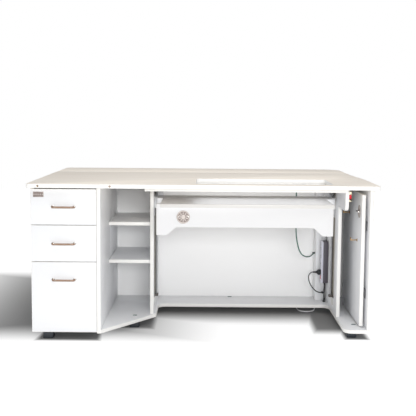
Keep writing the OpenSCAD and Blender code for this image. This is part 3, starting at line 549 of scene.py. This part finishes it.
controlLine = smoothRoute(controlLead["route"])
applianceLine = smoothRoute(applianceLead["route"])
boardLine = smoothRoute(boardLead["route"])
mainsLine = smoothRoute(mainsLead["route"])[:-1] + coilTurns() + smoothRoute(mainsLead["tail"])
controlCord = makeCord("controlCord", controlLine, controlLead["diameter"], greenSheath)
applianceCord = makeCord("applianceCord", applianceLine, applianceLead["diameter"], darkRubber)
boardCord = makeCord("boardCord", boardLine, boardLead["diameter"], darkRubber)
mainsCord = makeCord("mainsCord", mainsLine, mainsLead["diameter"], whiteSheath)
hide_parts("control_lead")
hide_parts("appliance_lead")
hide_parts("board_lead")
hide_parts("mains_lead", "mains_coil")
print("cord lengths:", [round(routeLength(x), 3) for x in (controlLine, applianceLine, boardLine, mainsLine)])

# The appliance plug: an angled-edge round plug with a ribbed relief
appliancePlug = {"bodyRadius": 0.016, "bodyLength": 0.023, "reliefLength": 0.0183}


def makeAppliancePlug():
    low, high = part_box("appliance_plug")
    p = appliancePlug
    tip = Vector((low.x, (low.y + high.y) / 2, (low.z + high.z) / 2))
    profile = [(0.0, 0.0), (0.0038, 0.0)]
    ribs = 5
    for i in range(ribs):
        h = 0.002 + i * p["reliefLength"] / ribs
        r = 0.004 + 0.0004 * i
        profile += [(r + 0.0008, h), (r + 0.0008, h + 0.0018), (r - 0.0002, h + 0.0022), (r - 0.0002, h + 0.0034)]
    start = p["reliefLength"] + 0.001
    end = high.x - low.x
    profile += [(0.0085, start), (0.0135, start + 0.005), (0.0155, start + 0.010), (p["bodyRadius"], start + 0.013),
                (p["bodyRadius"], end - 0.004), (0.0148, end - 0.003), (0.0148, end - 0.0002), (0.0, end - 0.0002)]
    bm = bmesh.new()
    addTurned(bm, profile, tip, (1, 0, 0), 40)
    return ship(bm, "appliancePlugBody", darkRubber, "cabinet", ["appliance_plug"])


def makeMainsPlug():
    # Flattened body with a finger grip, a tapered relief and two pins
    low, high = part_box("mains_plug")
    x, z = (low.x + high.x) / 2, (low.z + high.z) / 2
    profile = [(0.0, 0.0), (0.0036, 0.0), (0.0040, 0.006), (0.0050, 0.018), (0.0088, 0.024), (0.0128, 0.030),
               (0.0136, 0.036), (0.0118, 0.042), (0.0138, 0.047), (0.0138, 0.0495), (0.0, 0.0495)]
    bm = bmesh.new()
    addTurned(bm, profile, (x, low.y, z), (0, 1, 0), 40)
    for side in (-1, 1):
        addTurned(bm, [(0.0, 0.0), (0.0022, 0.0), (0.0022, 0.0175), (0.0015, 0.0195), (0.0, 0.0196)],
                  (x + side * 0.0095, low.y + 0.049, z), (0, 1, 0), 16, slotIndex=1)
    return ship(bm, "mainsPlugBody", [whiteSheath, zinc], "cabinet", ["mains_plug"])


plugPiece = makeAppliancePlug()
mainsPlugPiece = makeMainsPlug()
print("cords made")


# Top, carcass and floor

for node, name, body in (("main_top", "topBoard", "cabinet"), ("back_leaf", "leafBoard", "leaf")):
    boardPiece(node, name, body, laminate, 0.0016)

for node, name in (
    ("opening_frame", "openingRails"), ("left_end_panel", "leftEndBoard"),
    ("pedestal_side_panel", "pedestalSideBoard"), ("left_divider", "leftDividerBoard"),
    ("right_divider", "rightDividerBoard"), ("right_end_panel", "rightEndBoard"),
    ("shelves", "shelfBoards"), ("duct_post", "ductBoards"),
):
    boardPiece(node, name, "cabinet", white)
boardPiece("bottom_board", "floorBoard", "cabinet", white, 0.0014)
# The back board wears the brighter copy of the board white, painted light
boardPiece("back_panel", "backBoard", "cabinet", whiteBackPaintedLight)
# The lift's platform and apron wear the darker copy of the board white, painted shade
boardPiece("lift_platform", "platformBoard", "lift", whiteLiftPaintedShade)
boardPiece("apron", "apronBoard", "lift", whiteLiftPaintedShade, 0.0012)
boardPiece("rack_panel", "rackBoard", "rack", white)
print("boards made")


def makeInserts():
    # Threaded inserts: a flange, a chamfered mouth and turns of thread in the bore
    bm = bmesh.new()
    low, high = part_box("edge_inserts")
    z = (low.z + high.z) / 2
    for x in (low.x + 0.005, high.x - 0.005):
        profile = [(0.0049, 0.0), (0.0049, -0.0105), (0.0031, -0.0105)]
        for turn in range(8):
            h = -0.0098 + turn * 0.0011
            profile += [(0.0031, h), (0.0034, h + 0.00055)]
        profile += [(0.0031, -0.0012), (0.0039, -0.0002), (0.0049, 0.0)]
        addTurned(bm, profile, (x, low.y, z), (0, -1, 0), 28)
    return ship(bm, "edgeInserts", brass, "cabinet", ["edge_inserts"])


makeInserts()
metalPiece("feet", "blockFeet", "cabinet", feetPlastic, 0.003, 3)
metalPiece("floor_plugs", "floorCaps", "cabinet", plugGrey, 0.0006, 2)
dress("shelf_pins", zinc)


# Drawers: coated fronts, boxes of thin board, and steel slide members

frontBoard = {"bevel": 0.0011}
slideShape = {"lip": 0.0016, "wall": 0.0012}


def makeFront(node, name, body):
    low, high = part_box(node)
    low.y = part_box("drawer_middle_front")[0].y
    bm = bmesh.new()
    addBox(bm, low, high)
    bevelSharp(bm, frontBoard["bevel"], 2)
    markEdging(bm)
    return ship(bm, name, white, body, [node])


def addSlideMember(bm, low, high, open_side, slotIndex=0):
    # A rolled channel along Y: a web on the closed side, and two lips that turn in
    wall, lip = slideShape["wall"], slideShape["lip"]
    deep = high.x - low.x
    web = (low.x, low.x + wall) if open_side > 0 else (high.x - wall, high.x)
    addBox(bm, (web[0], low.y, low.z), (web[1], high.y, high.z), slotIndex=slotIndex)
    for z in (low.z, high.z - wall):
        addBox(bm, (low.x, low.y, z), (high.x, high.y, z + wall), slotIndex=slotIndex)
    edge = (high.x - wall, high.x) if open_side > 0 else (low.x, low.x + wall)
    if deep > 3 * wall:
        for z in (low.z, high.z - lip - wall):
            addBox(bm, (edge[0], low.y, z), (edge[1], high.y, z + lip + wall), slotIndex=slotIndex)


def makeDrawerBox(node, name, body):
    # Islands under 8 mm thick are the slide members; the others are boards
    bm = cadCopy(node)
    slides = []
    for faces in islands(bm):
        points = [v.co for f in faces for v in f.verts]
        low = Vector([min(p[i] for p in points) for i in range(3)])
        high = Vector([max(p[i] for p in points) for i in range(3)])
        if high.x - low.x < 0.008:
            slides.append((low, high))
            bmesh.ops.delete(bm, geom=faces, context="FACES")
    bevelSharp(bm, 0.0008, 2)
    markEdging(bm)
    ship(bm, name, drawerBoard, body, [node])
    bm = bmesh.new()
    middle = sum(low.x + high.x for low, high in slides) / (2 * len(slides))
    for low, high in slides:
        addSlideMember(bm, low, high, 1 if high.x < middle else -1)
        outward = -1 if high.x < middle else 1
        for share in (0.08, 0.36, 0.64, 0.92):
            x = high.x if outward < 0 else low.x
            place = (x + outward * 0.0012, low.y + share * (high.y - low.y), (low.z + high.z) / 2)
            addScrew(bm, place, (outward, 0, 0), 0.003)
    ship(bm, name + "Slides", zinc, body)


def makeHandle(node, name, body):
    # A bow handle: bar and bends in one sweep, two materials, and a rosette under each post. The sweep's brown is a
    # painted reflection on satin nickel
    low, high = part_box(node)
    r = (high.z - low.z) / 2
    bend = r + 0.006
    left, right = low.x + r, high.x - r
    z, barY, backY = low.z + r, low.y + r, high.y
    bm = bmesh.new()
    ring = bmesh.ops.create_circle(bm, segments=20, radius=r, cap_ends=False)["verts"]
    bmesh.ops.rotate(bm, verts=ring, cent=(0, 0, 0), matrix=Matrix.Rotation(math.radians(90), 3, "X"))
    bmesh.ops.translate(bm, vec=(left, backY, z), verts=ring)
    edges = list({e for v in ring for e in v.link_edges})

    def run(edges, vec):
        made = bmesh.ops.extrude_edge_only(bm, edges=edges)["geom"]
        verts = [g for g in made if isinstance(g, bmesh.types.BMVert)]
        bmesh.ops.translate(bm, vec=vec, verts=verts)
        return [g for g in made if isinstance(g, bmesh.types.BMEdge)
                and all(v in verts for v in g.verts)]

    def turn(edges, centre, angle):
        geom = edges + list({v for e in edges for v in e.verts})
        made = bmesh.ops.spin(bm, geom=geom, cent=centre, axis=(0, 0, 1), dvec=(0, 0, 0),
                              angle=angle, steps=8, use_merge=False, use_duplicate=False)["geom_last"]
        return [g for g in made if isinstance(g, bmesh.types.BMEdge)]

    quarter = math.radians(90)
    edges = run(edges, (0, barY + bend - backY, 0))
    edges = turn(edges, (left + bend, barY + bend, z), quarter)
    edges = run(edges, (0.004, 0, 0))
    edges = run(edges, (right - left - 2 * bend - 0.008, 0, 0))
    edges = run(edges, (0.004, 0, 0))
    edges = turn(edges, (right - bend, barY + bend, z), quarter)
    run(edges, (0, backY - barY - bend, 0))
    bmesh.ops.remove_doubles(bm, verts=bm.verts, dist=1e-6)
    bmesh.ops.recalc_face_normals(bm, faces=bm.faces)
    inner = (left + bend + 0.004, right - bend - 0.004)
    for x in (left, right):
        profile = [(r - 0.0004, 0.0), (r + 0.0026, 0.0), (r + 0.0028, 0.0008), (r + 0.0012, 0.0022),
                   (r + 0.0002, 0.0028), (r - 0.0004, 0.0028)]
        addTurned(bm, profile, (x, backY, z), (0, -1, 0), 28, slotIndex=1)
    for x in inner:
        side = -1 if x == inner[0] else 1
        addTurned(bm, [(r - 0.0004, 0.0), (r + 0.0004, 0.0003), (r + 0.0004, 0.0015), (r - 0.0004, 0.0018)],
                  (x, barY, z), (side, 0, 0), 24, slotIndex=1)
    return ship(bm, name, [handleBarPaintedReflection, handleEnd], body, [node])


for level in ("top", "middle", "bottom"):
    body = "drawer_" + level
    title = level.capitalize()
    makeFront(body + "_front", "drawerFront" + title, body)
    makeDrawerBox(body + "_box", "drawerBox" + title, body)
    makeHandle(body + "_handle", "drawerHandle" + title, body)


def makeFixedSlides(node, name, material):
    bm = cadCopy(node)
    bars = []
    for faces in islands(bm):
        points = [v.co for f in faces for v in f.verts]
        bars.append((Vector([min(p[i] for p in points) for i in range(3)]),
                     Vector([max(p[i] for p in points) for i in range(3)])))
    bm.clear()
    middle = sum(low.x + high.x for low, high in bars) / (2 * len(bars))
    spread = max(high.x for low, high in bars) - min(low.x for low, high in bars)
    for low, high in bars:
        side = 1 if spread > 0.1 and high.x < middle else -1
        addSlideMember(bm, low, high, side)
        for share in (0.06, 0.35, 0.65, 0.94):
            x = low.x + slideShape["wall"] if side > 0 else high.x - slideShape["wall"]
            addScrew(bm, (x, low.y + share * (high.y - low.y), (low.z + high.z) / 2), (side, 0, 0), 0.0034)
    return ship(bm, name, material, "cabinet", [node])


makeFixedSlides("drawer_runners", "drawerRunners", zinc)
makeFixedSlides("rack_runners", "rackRunners", zinc)

badge = {"inset": 0.012, "drop": 0.013, "size": (0.052, 0.0265), "rim": 0.0022, "field": 0.0006}


def makeBadge():
    # A plain ornament plate: a rim, a sunk field and a row of raised lozenges
    low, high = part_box("drawer_top_front")
    b = badge
    left, top = low.x + b["inset"], high.z - b["drop"]
    right, foot = left + b["size"][0], top - b["size"][1]
    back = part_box("drawer_middle_front")[0].y
    bm = bmesh.new()
    addBox(bm, (left, low.y + b["field"], foot), (right, back + 0.0002, top), slotIndex=1)
    rim = b["rim"]
    for x in ((left, left + rim), (right - rim, right)):
        addBox(bm, (x[0], low.y, foot), (x[1], back, top), 0.0004)
    for z in ((foot, foot + rim), (top - rim, top)):
        addBox(bm, (left + rim * 0.8, low.y, z[0]), (right - rim * 0.8, back, z[1]), 0.0004)
    count = 5
    for i in range(count):
        x = left + (i + 0.5) * (right - left) / count
        made = bmesh.ops.create_cone(bm, cap_ends=True, segments=4, radius1=0.0052, radius2=0.0018, depth=0.0008)
        place = Matrix.Translation((x, low.y + 0.0005, (top + foot) / 2)) @ aim((0, -1, 0))
        bmesh.ops.transform(bm, matrix=place, verts=made["verts"])
    return ship(bm, "ornamentPlate", [bronze, bronzeDark], "drawer_top")


makeBadge()
print("drawers made")

medallion = {"petals": 10, "petal": (0.0038, 0.0078), "studAt": 0.024, "studRadius": 0.0032}


def makeMedallion():
    # A dark dished disc with a bright rim, boss and petals, held by two studs
    low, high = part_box("medallion")
    m = medallion
    centre = Vector(((low.x + high.x) / 2, high.y, (low.z + high.z) / 2))
    radius = (high.x - low.x) / 2
    deep = high.y - low.y
    bm = bmesh.new()
    disc = [(0.0, 0.0), (radius - 0.0004, 0.0), (radius - 0.0004, deep * 0.5), (radius * 0.36, deep * 0.44),
            (0.0, deep * 0.44)]
    rim = [(radius - 0.0072, deep * 0.3), (radius - 0.0066, deep * 0.62), (radius - 0.0052, deep * 0.92),
           (radius - 0.0034, deep), (radius - 0.0012, deep * 0.92), (radius, deep * 0.55), (radius, 0.0002)]
    boss = [(radius * 0.35, deep * 0.3), (radius * 0.33, deep * 0.85), (radius * 0.26, deep),
            (radius * 0.14, deep * 0.8), (0.0, deep * 0.96)]
    addTurned(bm, disc, centre, (0, -1, 0), 64, slotIndex=1)
    addTurned(bm, rim, centre, (0, -1, 0), 64)
    addTurned(bm, boss, centre, (0, -1, 0), 48)
    for i in range(m["petals"]):
        angle = math.tau * i / m["petals"]
        made = bmesh.ops.create_uvsphere(bm, u_segments=14, v_segments=8, radius=1.0)["verts"]
        bmesh.ops.scale(bm, vec=(m["petal"][0], deep * 0.42, m["petal"][1]), verts=made)
        bmesh.ops.translate(bm, vec=(0, -deep * 0.5, radius * 0.565), verts=made)
        bmesh.ops.rotate(bm, verts=made, cent=(0, 0, 0), matrix=Matrix.Rotation(angle, 3, "Y"))
        bmesh.ops.translate(bm, vec=centre, verts=made)
    for side in (-1, 1):
        addScrew(bm, centre + Vector((side * m["studAt"], -deep * 0.66, 0)), (0, -1, 0), m["studRadius"],
                 slotIndex=2)
    return ship(bm, "apronMedallion", [bronze, bronzeDark, handleEnd], "lift", ["medallion"])


makeMedallion()


# The lift: threaded screws, rails, nuts, arms and drives

thread = {"starts": 4, "lead": 0.020, "root": 0.0048, "crest": 0.0059, "flat": 0.0013, "slope": 0.0009, "steps": 20}


def makeLeadScrew(node, name, body):
    low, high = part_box(node)
    x, y = (low.x + high.x) / 2, (low.y + high.y) / 2
    t = thread
    bm = bmesh.new()
    journal = 0.016
    profile = [(0.0, low.z), (0.0052, low.z), (0.0058, low.z + 0.0008), (0.0058, low.z + journal),
               (t["root"], low.z + journal + 0.0004), (t["root"], high.z - journal - 0.0004),
               (0.0058, high.z - journal), (0.0058, high.z - 0.0008), (0.0052, high.z), (0.0, high.z)]
    addTurned(bm, profile, (x, y, 0), (0, 0, 1), 24)
    start, end = low.z + journal, high.z - journal
    turns = (end - start - t["flat"] - 2 * t["slope"]) / t["lead"]
    steps = int(turns * t["steps"])
    for i in range(t["starts"]):
        inner = t["root"] - 0.0004
        section = [(inner, 0.0), (t["crest"], t["slope"]), (t["crest"], t["slope"] + t["flat"]),
                   (inner, 2 * t["slope"] + t["flat"])]
        verts = [bm.verts.new((r, 0, h)) for r, h in section]
        edges = [bm.edges.new((verts[j], verts[(j + 1) % 4])) for j in range(4)]
        turn = Matrix.Rotation(math.tau * i / t["starts"], 3, "Z")
        bmesh.ops.rotate(bm, verts=verts, cent=(0, 0, 0), matrix=turn)
        bmesh.ops.translate(bm, vec=(x, y, start), verts=verts)
        made = bmesh.ops.spin(bm, geom=verts + edges, cent=(x, y, 0), axis=(0, 0, 1),
                              dvec=(0, 0, t["lead"] * turns / steps), angle=math.tau * turns,
                              steps=steps, use_merge=False, use_duplicate=False)["geom_last"]
        ends = edges + [g for g in made if isinstance(g, bmesh.types.BMEdge)]
        bmesh.ops.holes_fill(bm, edges=ends, sides=4)
    bmesh.ops.recalc_face_normals(bm, faces=bm.faces)
    return ship(bm, name, screwSteel, body, [node], 30)


makeLeadScrew("lead_screw_left", "leadScrewLeft", "lead_screw_left")
makeLeadScrew("lead_screw_right", "leadScrewRight", "lead_screw_right")
metalPiece("guide_rails", "guideRails", "cabinet", railSteel, 0.0004, 2)
metalPiece("screw_bearings", "screwBearings", "cabinet", darkSteel, 0.0008, 2)
metalPiece("lift_nuts", "liftNuts", "lift", brass, 0.0008, 2)
metalPiece("lift_arm_left", "liftArmLeft", "lift", whiteSteel, 0.0012, 3)
metalPiece("lift_arm_right", "liftArmRight", "lift", whiteSteel, 0.0012, 3)


def makeDrives():
    # Each drive: a cover with a screwed lid, and a motor with a ribbed can and an end cap
    bm = cadCopy("lift_drives")
    bevelSharp(bm, 0.0014, 3)
    low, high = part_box("lift_drives")
    motorY = low.y + 0.124
    for side in (-1, 1):
        x = low.x + 0.022 if side < 0 else high.x - 0.022
        bottom = high.z - 0.021 - 0.090
        for share in (0.2, 0.35, 0.5, 0.65, 0.8):
            z = bottom + 0.090 * share
            addTurned(bm, [(0.0185, -0.0016), (0.0192, -0.0008), (0.0192, 0.0008), (0.0185, 0.0016)],
                      (x, motorY, z), (0, 0, 1), 40)
        addTurned(bm, [(0.0, 0.0), (0.006, 0.0), (0.0066, -0.0008), (0.0062, -0.002), (0.0, -0.0022)],
                  (x, motorY, bottom), (0, 0, 1), 28, slotIndex=1)
        for dx in (-0.016, 0.016):
            for y in (low.y + 0.006, high.y - 0.006):
                addScrew(bm, (x + dx, y, high.z - 0.021), (0, 0, -1), 0.0028, slotIndex=1)
    return ship(bm, "liftDrives", [whiteSteel, zinc], "cabinet", ["lift_drives"])


makeDrives()
print("lift made")


# Switches, power board, plugs and glands

metalPiece("power_board_housing", "powerBoardShell", "cabinet", greyPlastic, 0.0022, 3)
powerBoard = {"outlets": 4, "outletRadius": 0.0195}


def makePowerFace():
    bm = cadCopy("power_board_face")
    bevelSharp(bm, 0.0014, 3)
    low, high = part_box("power_board_face")
    y = (low.y + high.y) / 2
    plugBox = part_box("appliance_plug")
    plugZ = (plugBox[0].z + plugBox[1].z) / 2
    for i in range(powerBoard["outlets"]):
        z = plugZ + i * 0.046
        r = powerBoard["outletRadius"]
        if i:
            ring = [(r, 0.0), (r + 0.0008, 0.0006), (r + 0.002, 0.0007), (r + 0.0024, 0.0)]
            addTurned(bm, ring, (low.x, y, z), (-1, 0, 0), 40)
            # Three black slabs per outlet: painted shade for its socket holes
            for dy, dz, angle in ((-0.0055, 0.003, 30), (0.0055, 0.003, -30), (0.0, -0.007, 0)):
                verts = addBox(bm, (-0.0003, -0.0011, -0.0032), (0.0002, 0.0011, 0.0032), slotIndex=1)
                bmesh.ops.rotate(bm, verts=verts, cent=(0, 0, 0),
                                 matrix=Matrix.Rotation(math.radians(angle), 3, "X"))
                bmesh.ops.translate(bm, vec=(low.x, y + dy, z + dz), verts=verts)
    for z in (low.z + 0.008, high.z - 0.008):
        addScrew(bm, (low.x, y, z), (-1, 0, 0), 0.003, slotIndex=2)
    return ship(bm, "powerBoardFace", [palePlastic, socketHolePaintedShade, zinc], "cabinet", ["power_board_face"])


makePowerFace()
metalPiece("power_board_rocker", "powerRocker", "power_switch", redPlastic, 0.0009, 3)
metalPiece("lift_switch_body", "liftSwitchBody", "cabinet", creamPlastic, 0.0014, 3)
metalPiece("lift_switch_rocker", "liftSwitchRocker", "lift_switch", redPlastic, 0.0009, 3)


def makeGlands():
    # Tapered rubber glands where a lead meets a board, and the mains cleat as it is
    bm = cadCopy("lead_glands")
    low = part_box("lead_glands")[0]
    bevelSharp(bm, 0.0007, 2)
    exits = (
        (controlLead["route"][0], (0, 0, -1), controlLead["diameter"]),
        (controlLead["route"][-1], (-1, 0, 0), controlLead["diameter"]),
        (applianceLead["route"][-1], (0, -1, 0), applianceLead["diameter"]),
        (boardLead["route"][-1], (0, 0, 1), boardLead["diameter"]),
        (boardLead["route"][0], (0, 0, -1), boardLead["diameter"]),
        (mainsLead["route"][0], (0, -1, 0), mainsLead["diameter"]),
    )
    for place, axis, diameter in exits:
        inner = diameter / 2 + 0.0001
        long = 0.014 if diameter != mainsLead["diameter"] else 0.007
        profile = [(inner + 0.0001, 0.0), (inner + 0.0026, 0.0)]
        ribs = 4
        for i in range(ribs):
            h, r = long * (i + 0.3) / ribs, inner + 0.0024 - 0.0017 * i / ribs
            profile += [(r, h), (r, h + long * 0.4 / ribs), (r - 0.0005, h + long * 0.5 / ribs)]
        profile += [(inner + 0.0005, long), (inner + 0.0001, long)]
        addTurned(bm, profile, place, axis, 24)
    return ship(bm, "leadGlands", darkRubber, "cabinet", ["lead_glands"])


makeGlands()
print("electrics made")


# Hoop rack: slide members, a round finger pull with a bar, and brass hooks

def makeRackFittings():
    bm = cadCopy("rack_fittings")
    slides, hooks, pull = [], [], []
    for faces in islands(bm):
        points = [v.co for f in faces for v in f.verts]
        low = Vector([min(p[i] for p in points) for i in range(3)])
        high = Vector([max(p[i] for p in points) for i in range(3)])
        if high.y - low.y > 0.2:
            slides.append((low, high))
            bmesh.ops.delete(bm, geom=faces, context="FACES")
        elif high.y - low.y > 0.05:
            pull.append((low, high))
            bmesh.ops.delete(bm, geom=faces, context="FACES")
        else:
            hooks.append((low, high))
    bmesh.ops.recalc_face_normals(bm, faces=bm.faces)
    bmesh.ops.bevel(bm, geom=[e for e in bm.edges if len(e.link_faces) == 2 and e.calc_face_angle(0) > 0.6],
                    offset=0.0006, offset_type="OFFSET", segments=2, profile=0.5, affect="EDGES",
                    clamp_overlap=True, material=-1)
    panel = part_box("rack_panel")
    for low, high in hooks:
        middle = ((low.y + high.y) / 2, low.z + 0.0025)
        addTurned(bm, [(0.0, 0.0), (0.008, 0.0), (0.0082, 0.0008), (0.0044, 0.0026), (0.0027, 0.0042), (0.0, 0.0042)],
                  (panel[0].x, middle[0], middle[1]), (-1, 0, 0), 28)
    ship(bm, "rackHooks", brass, "rack", ["rack_fittings"])
    bm = bmesh.new()
    for low, high in slides:
        addSlideMember(bm, low, high, -1)
        for share in (0.06, 0.5, 0.94):
            addScrew(bm, (high.x, low.y + share * (high.y - low.y), (low.z + high.z) / 2), (1, 0, 0), 0.003)
    ship(bm, "rackSlides", zinc, "rack")
    bm = bmesh.new()
    for low, high in pull:
        y, z = (low.y + high.y) / 2, (low.z + high.z) / 2
        radius = (high.z - low.z) / 2
        profile = [(0.0, 0.0), (radius, 0.0), (radius, 0.0012), (radius - 0.0014, 0.0025), (radius - 0.004, 0.0025),
                   (radius - 0.006, 0.0012), (radius * 0.3, 0.0009), (0.0, 0.0009)]
        addTurned(bm, profile, (panel[0].x, y, z), (-1, 0, 0), 56)
        for side in (-1, 1):
            for i in range(-2, 3):
                verts = addBox(bm, (-0.0019, -0.0014, -0.0045), (0.0, 0.0014, 0.0045), 0.0005)
                bmesh.ops.translate(bm, vec=(panel[0].x, y + i * 0.0085, z + side * (0.0155 - abs(i) * 0.0018)),
                                    verts=verts)
        addBox(bm, (panel[0].x - 0.0125, y - radius + 0.004, z - 0.003), (panel[0].x - 0.0004, y + radius - 0.004, z + 0.003),
               0.0012, 3, slotIndex=1)
    return ship(bm, "rackPull", [bronze, handleEnd], "rack")


makeRackFittings()
print("rack made")


# Leaf hinges and support arms

metalPiece("leaf_hinges_fixed", "leafHingesFixed", "cabinet", zinc, 0.0003, 1)
metalPiece("leaf_hinges_moving", "leafHingesMoving", "leaf", zinc, 0.0003, 1)
dress("leaf_hinge_pins", screwSteel)
metalPiece("support_brackets", "supportBrackets", "cabinet", zinc, 0.0006, 2)
dress("support_pins", screwSteel)
metalPiece("support_arm_left", "supportArmLeft", "support_arm_left", whiteSteel, 0.0012, 3)
metalPiece("support_arm_right", "supportArmRight", "support_arm_right", whiteSteel, 0.0012, 3)


def makeFixings():
    # Screw heads on the hinges' fixed leaves, the support brackets and the back board
    bm = bmesh.new()
    low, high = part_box("leaf_hinges_fixed")
    backLow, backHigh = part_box("back_panel")
    spacing = (high.x - low.x - 0.060) / 3
    for i in range(4):
        for dx in (-0.021, 0.021):
            addScrew(bm, (low.x + 0.030 + i * spacing + dx, backHigh.y + 0.006, high.z - 0.0018), (0, 0, -1), 0.0026)
    low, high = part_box("support_brackets")
    for x in (low.x + 0.018, high.x - 0.018):
        for dx in (-0.0145, 0.0145):
            for dz in (-0.021, 0.021):
                place = (x + dx, backHigh.y + 0.003, (low.z + high.z) / 2 + dz)
                addScrew(bm, place, (0, 1, 0), 0.0026)
    for i in range(9):
        x = backLow.x + 0.010 + i * (backHigh.x - backLow.x - 0.020) / 8
        for z in (backLow.z + 0.009, backHigh.z - 0.012):
            addScrew(bm, (x, backHigh.y, z), (0, 1, 0), 0.0036)
    ship(bm, "fixingScrews", zinc, "cabinet")
    bm = bmesh.new()
    low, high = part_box("leaf_hinges_moving")
    for i in range(4):
        for dx in (-0.021, 0.0, 0.021):
            addScrew(bm, (low.x + 0.030 + i * spacing + dx, high.y - 0.009, high.z - 0.0018), (0, 0, -1), 0.0026)
    ship(bm, "leafScrews", zinc, "leaf")


makeFixings()
print("hinges made")


# Studio: a dark floor with painted shadow under and around the table, a painted glow elsewhere that melts into a
# white surround, and soft lights

# The floor's tone is dark so that it reads as painted shadow wherever its painted glow is turned off
studio = {"floorSize": 14.0, "surround": 0.3, "paintedShadowTone": 0.26, "paintedLightGlow": 0.92}
paintedShadowBoxes = (
    # Boxes of painted shadow on the floor below and around the table: centre, half size, width of the soft edge
    ((-0.02, 0.12), (0.80, 0.10), (0.06, 0.34)),
    ((-0.80, 0.25), (0.10, 0.50), (1.00, 0.42)),
    ((-0.665, -0.27), (0.135, 0.26), (0.05, 0.05)),
    ((-0.40, -0.15), (0.12, 0.15), (0.08, 0.12)),
    ((0.70, -0.10), (0.09, 0.20), (0.06, 0.16)),
    ((0.775, -0.24), (0.040, 0.24), (0.04, 0.05)),
)
lights = {
    "ceiling": {"place": (0.0, -0.6, 3.4), "aim": (0.0, 0.0, 0.0), "size": (4.5, 3.6), "power": 86},
    "front": {"place": (0.8, -7.0, 1.8), "aim": (0.0, 0.0, 0.5), "size": (2.4, 1.6), "power": 200},
}


def vectorMath(tree, kind, source, value=(0, 0, 0)):
    node = addNode(tree, "ShaderNodeVectorMath", {"Vector": source}, operation=kind)
    node.inputs[1].default_value = value
    return node.outputs[0]


def makeStudio():
    bm = bmesh.new()
    bmesh.ops.create_grid(bm, x_segments=1, y_segments=1, size=studio["floorSize"] / 2)
    mesh = bpy.data.meshes.new("studioFloor")
    bm.to_mesh(mesh)
    bm.free()
    material, tree, shader = startMaterial("floorPaintedShadowAndGlow")
    # A dark floor tone: painted shadow under and around the table
    paintedShadowTone = studio["paintedShadowTone"]
    shader.inputs["Base Color"].default_value = (paintedShadowTone, paintedShadowTone, paintedShadowTone, 1)
    shader.inputs["Roughness"].default_value = 0.9
    shader.inputs["Specular IOR Level"].default_value = 0.1
    shader.inputs["Emission Color"].default_value = (1, 1, 1, 1)
    # Outside the painted shadow boxes the floor glows, a painted light, so that it ends in the surround without a
    # line; inside them the dark tone alone stands for the table's shadow
    place = tree.nodes.new("ShaderNodeTexCoord").outputs["Object"]
    nearest = None
    for centre, half, edge in paintedShadowBoxes:
        away = vectorMath(tree, "SUBTRACT", place, (*centre, 0))
        away = vectorMath(tree, "ABSOLUTE", away)
        away = vectorMath(tree, "SUBTRACT", away, (*half, 1))
        away = vectorMath(tree, "DIVIDE", away, (*edge, 1))
        parts = addNode(tree, "ShaderNodeSeparateXYZ", {"Vector": away})
        outside = mathNode(tree, "MAXIMUM", parts.outputs[0], parts.outputs[1])
        nearest = outside if nearest is None else mathNode(tree, "MINIMUM", nearest, outside)
    rise = addNode(tree, "ShaderNodeMapRange", {"Value": nearest}, interpolation_type="SMOOTHSTEP")
    rise.inputs["To Max"].default_value = studio["paintedLightGlow"]
    tree.links.new(rise.outputs["Result"], shader.inputs["Emission Strength"])
    mesh.materials.append(material)
    floor = bpy.data.objects.new("studioFloor", mesh)
    scene.collection.objects.link(floor)
    world = bpy.data.worlds.new("surround")
    scene.world = world
    world.use_nodes = True
    tree = world.node_tree
    background = tree.nodes["Background"]
    background.inputs["Color"].default_value = (1, 1, 1, 1)
    path = tree.nodes.new("ShaderNodeLightPath")
    strength = mathNode(tree, "MAXIMUM", path.outputs["Is Camera Ray"], studio["surround"])
    tree.links.new(strength, background.inputs["Strength"])
    for name, l in lights.items():
        data = bpy.data.lights.new(name, "AREA")
        data.shape = "RECTANGLE"
        data.size, data.size_y = l["size"]
        data.energy = l["power"]
        lamp = bpy.data.objects.new(name, data)
        lamp.location = l["place"]
        direction = Vector(l["aim"]) - Vector(l["place"])
        lamp.rotation_euler = direction.to_track_quat("-Z", "Y").to_euler()
        scene.collection.objects.link(lamp)


makeStudio()
print("studio made")
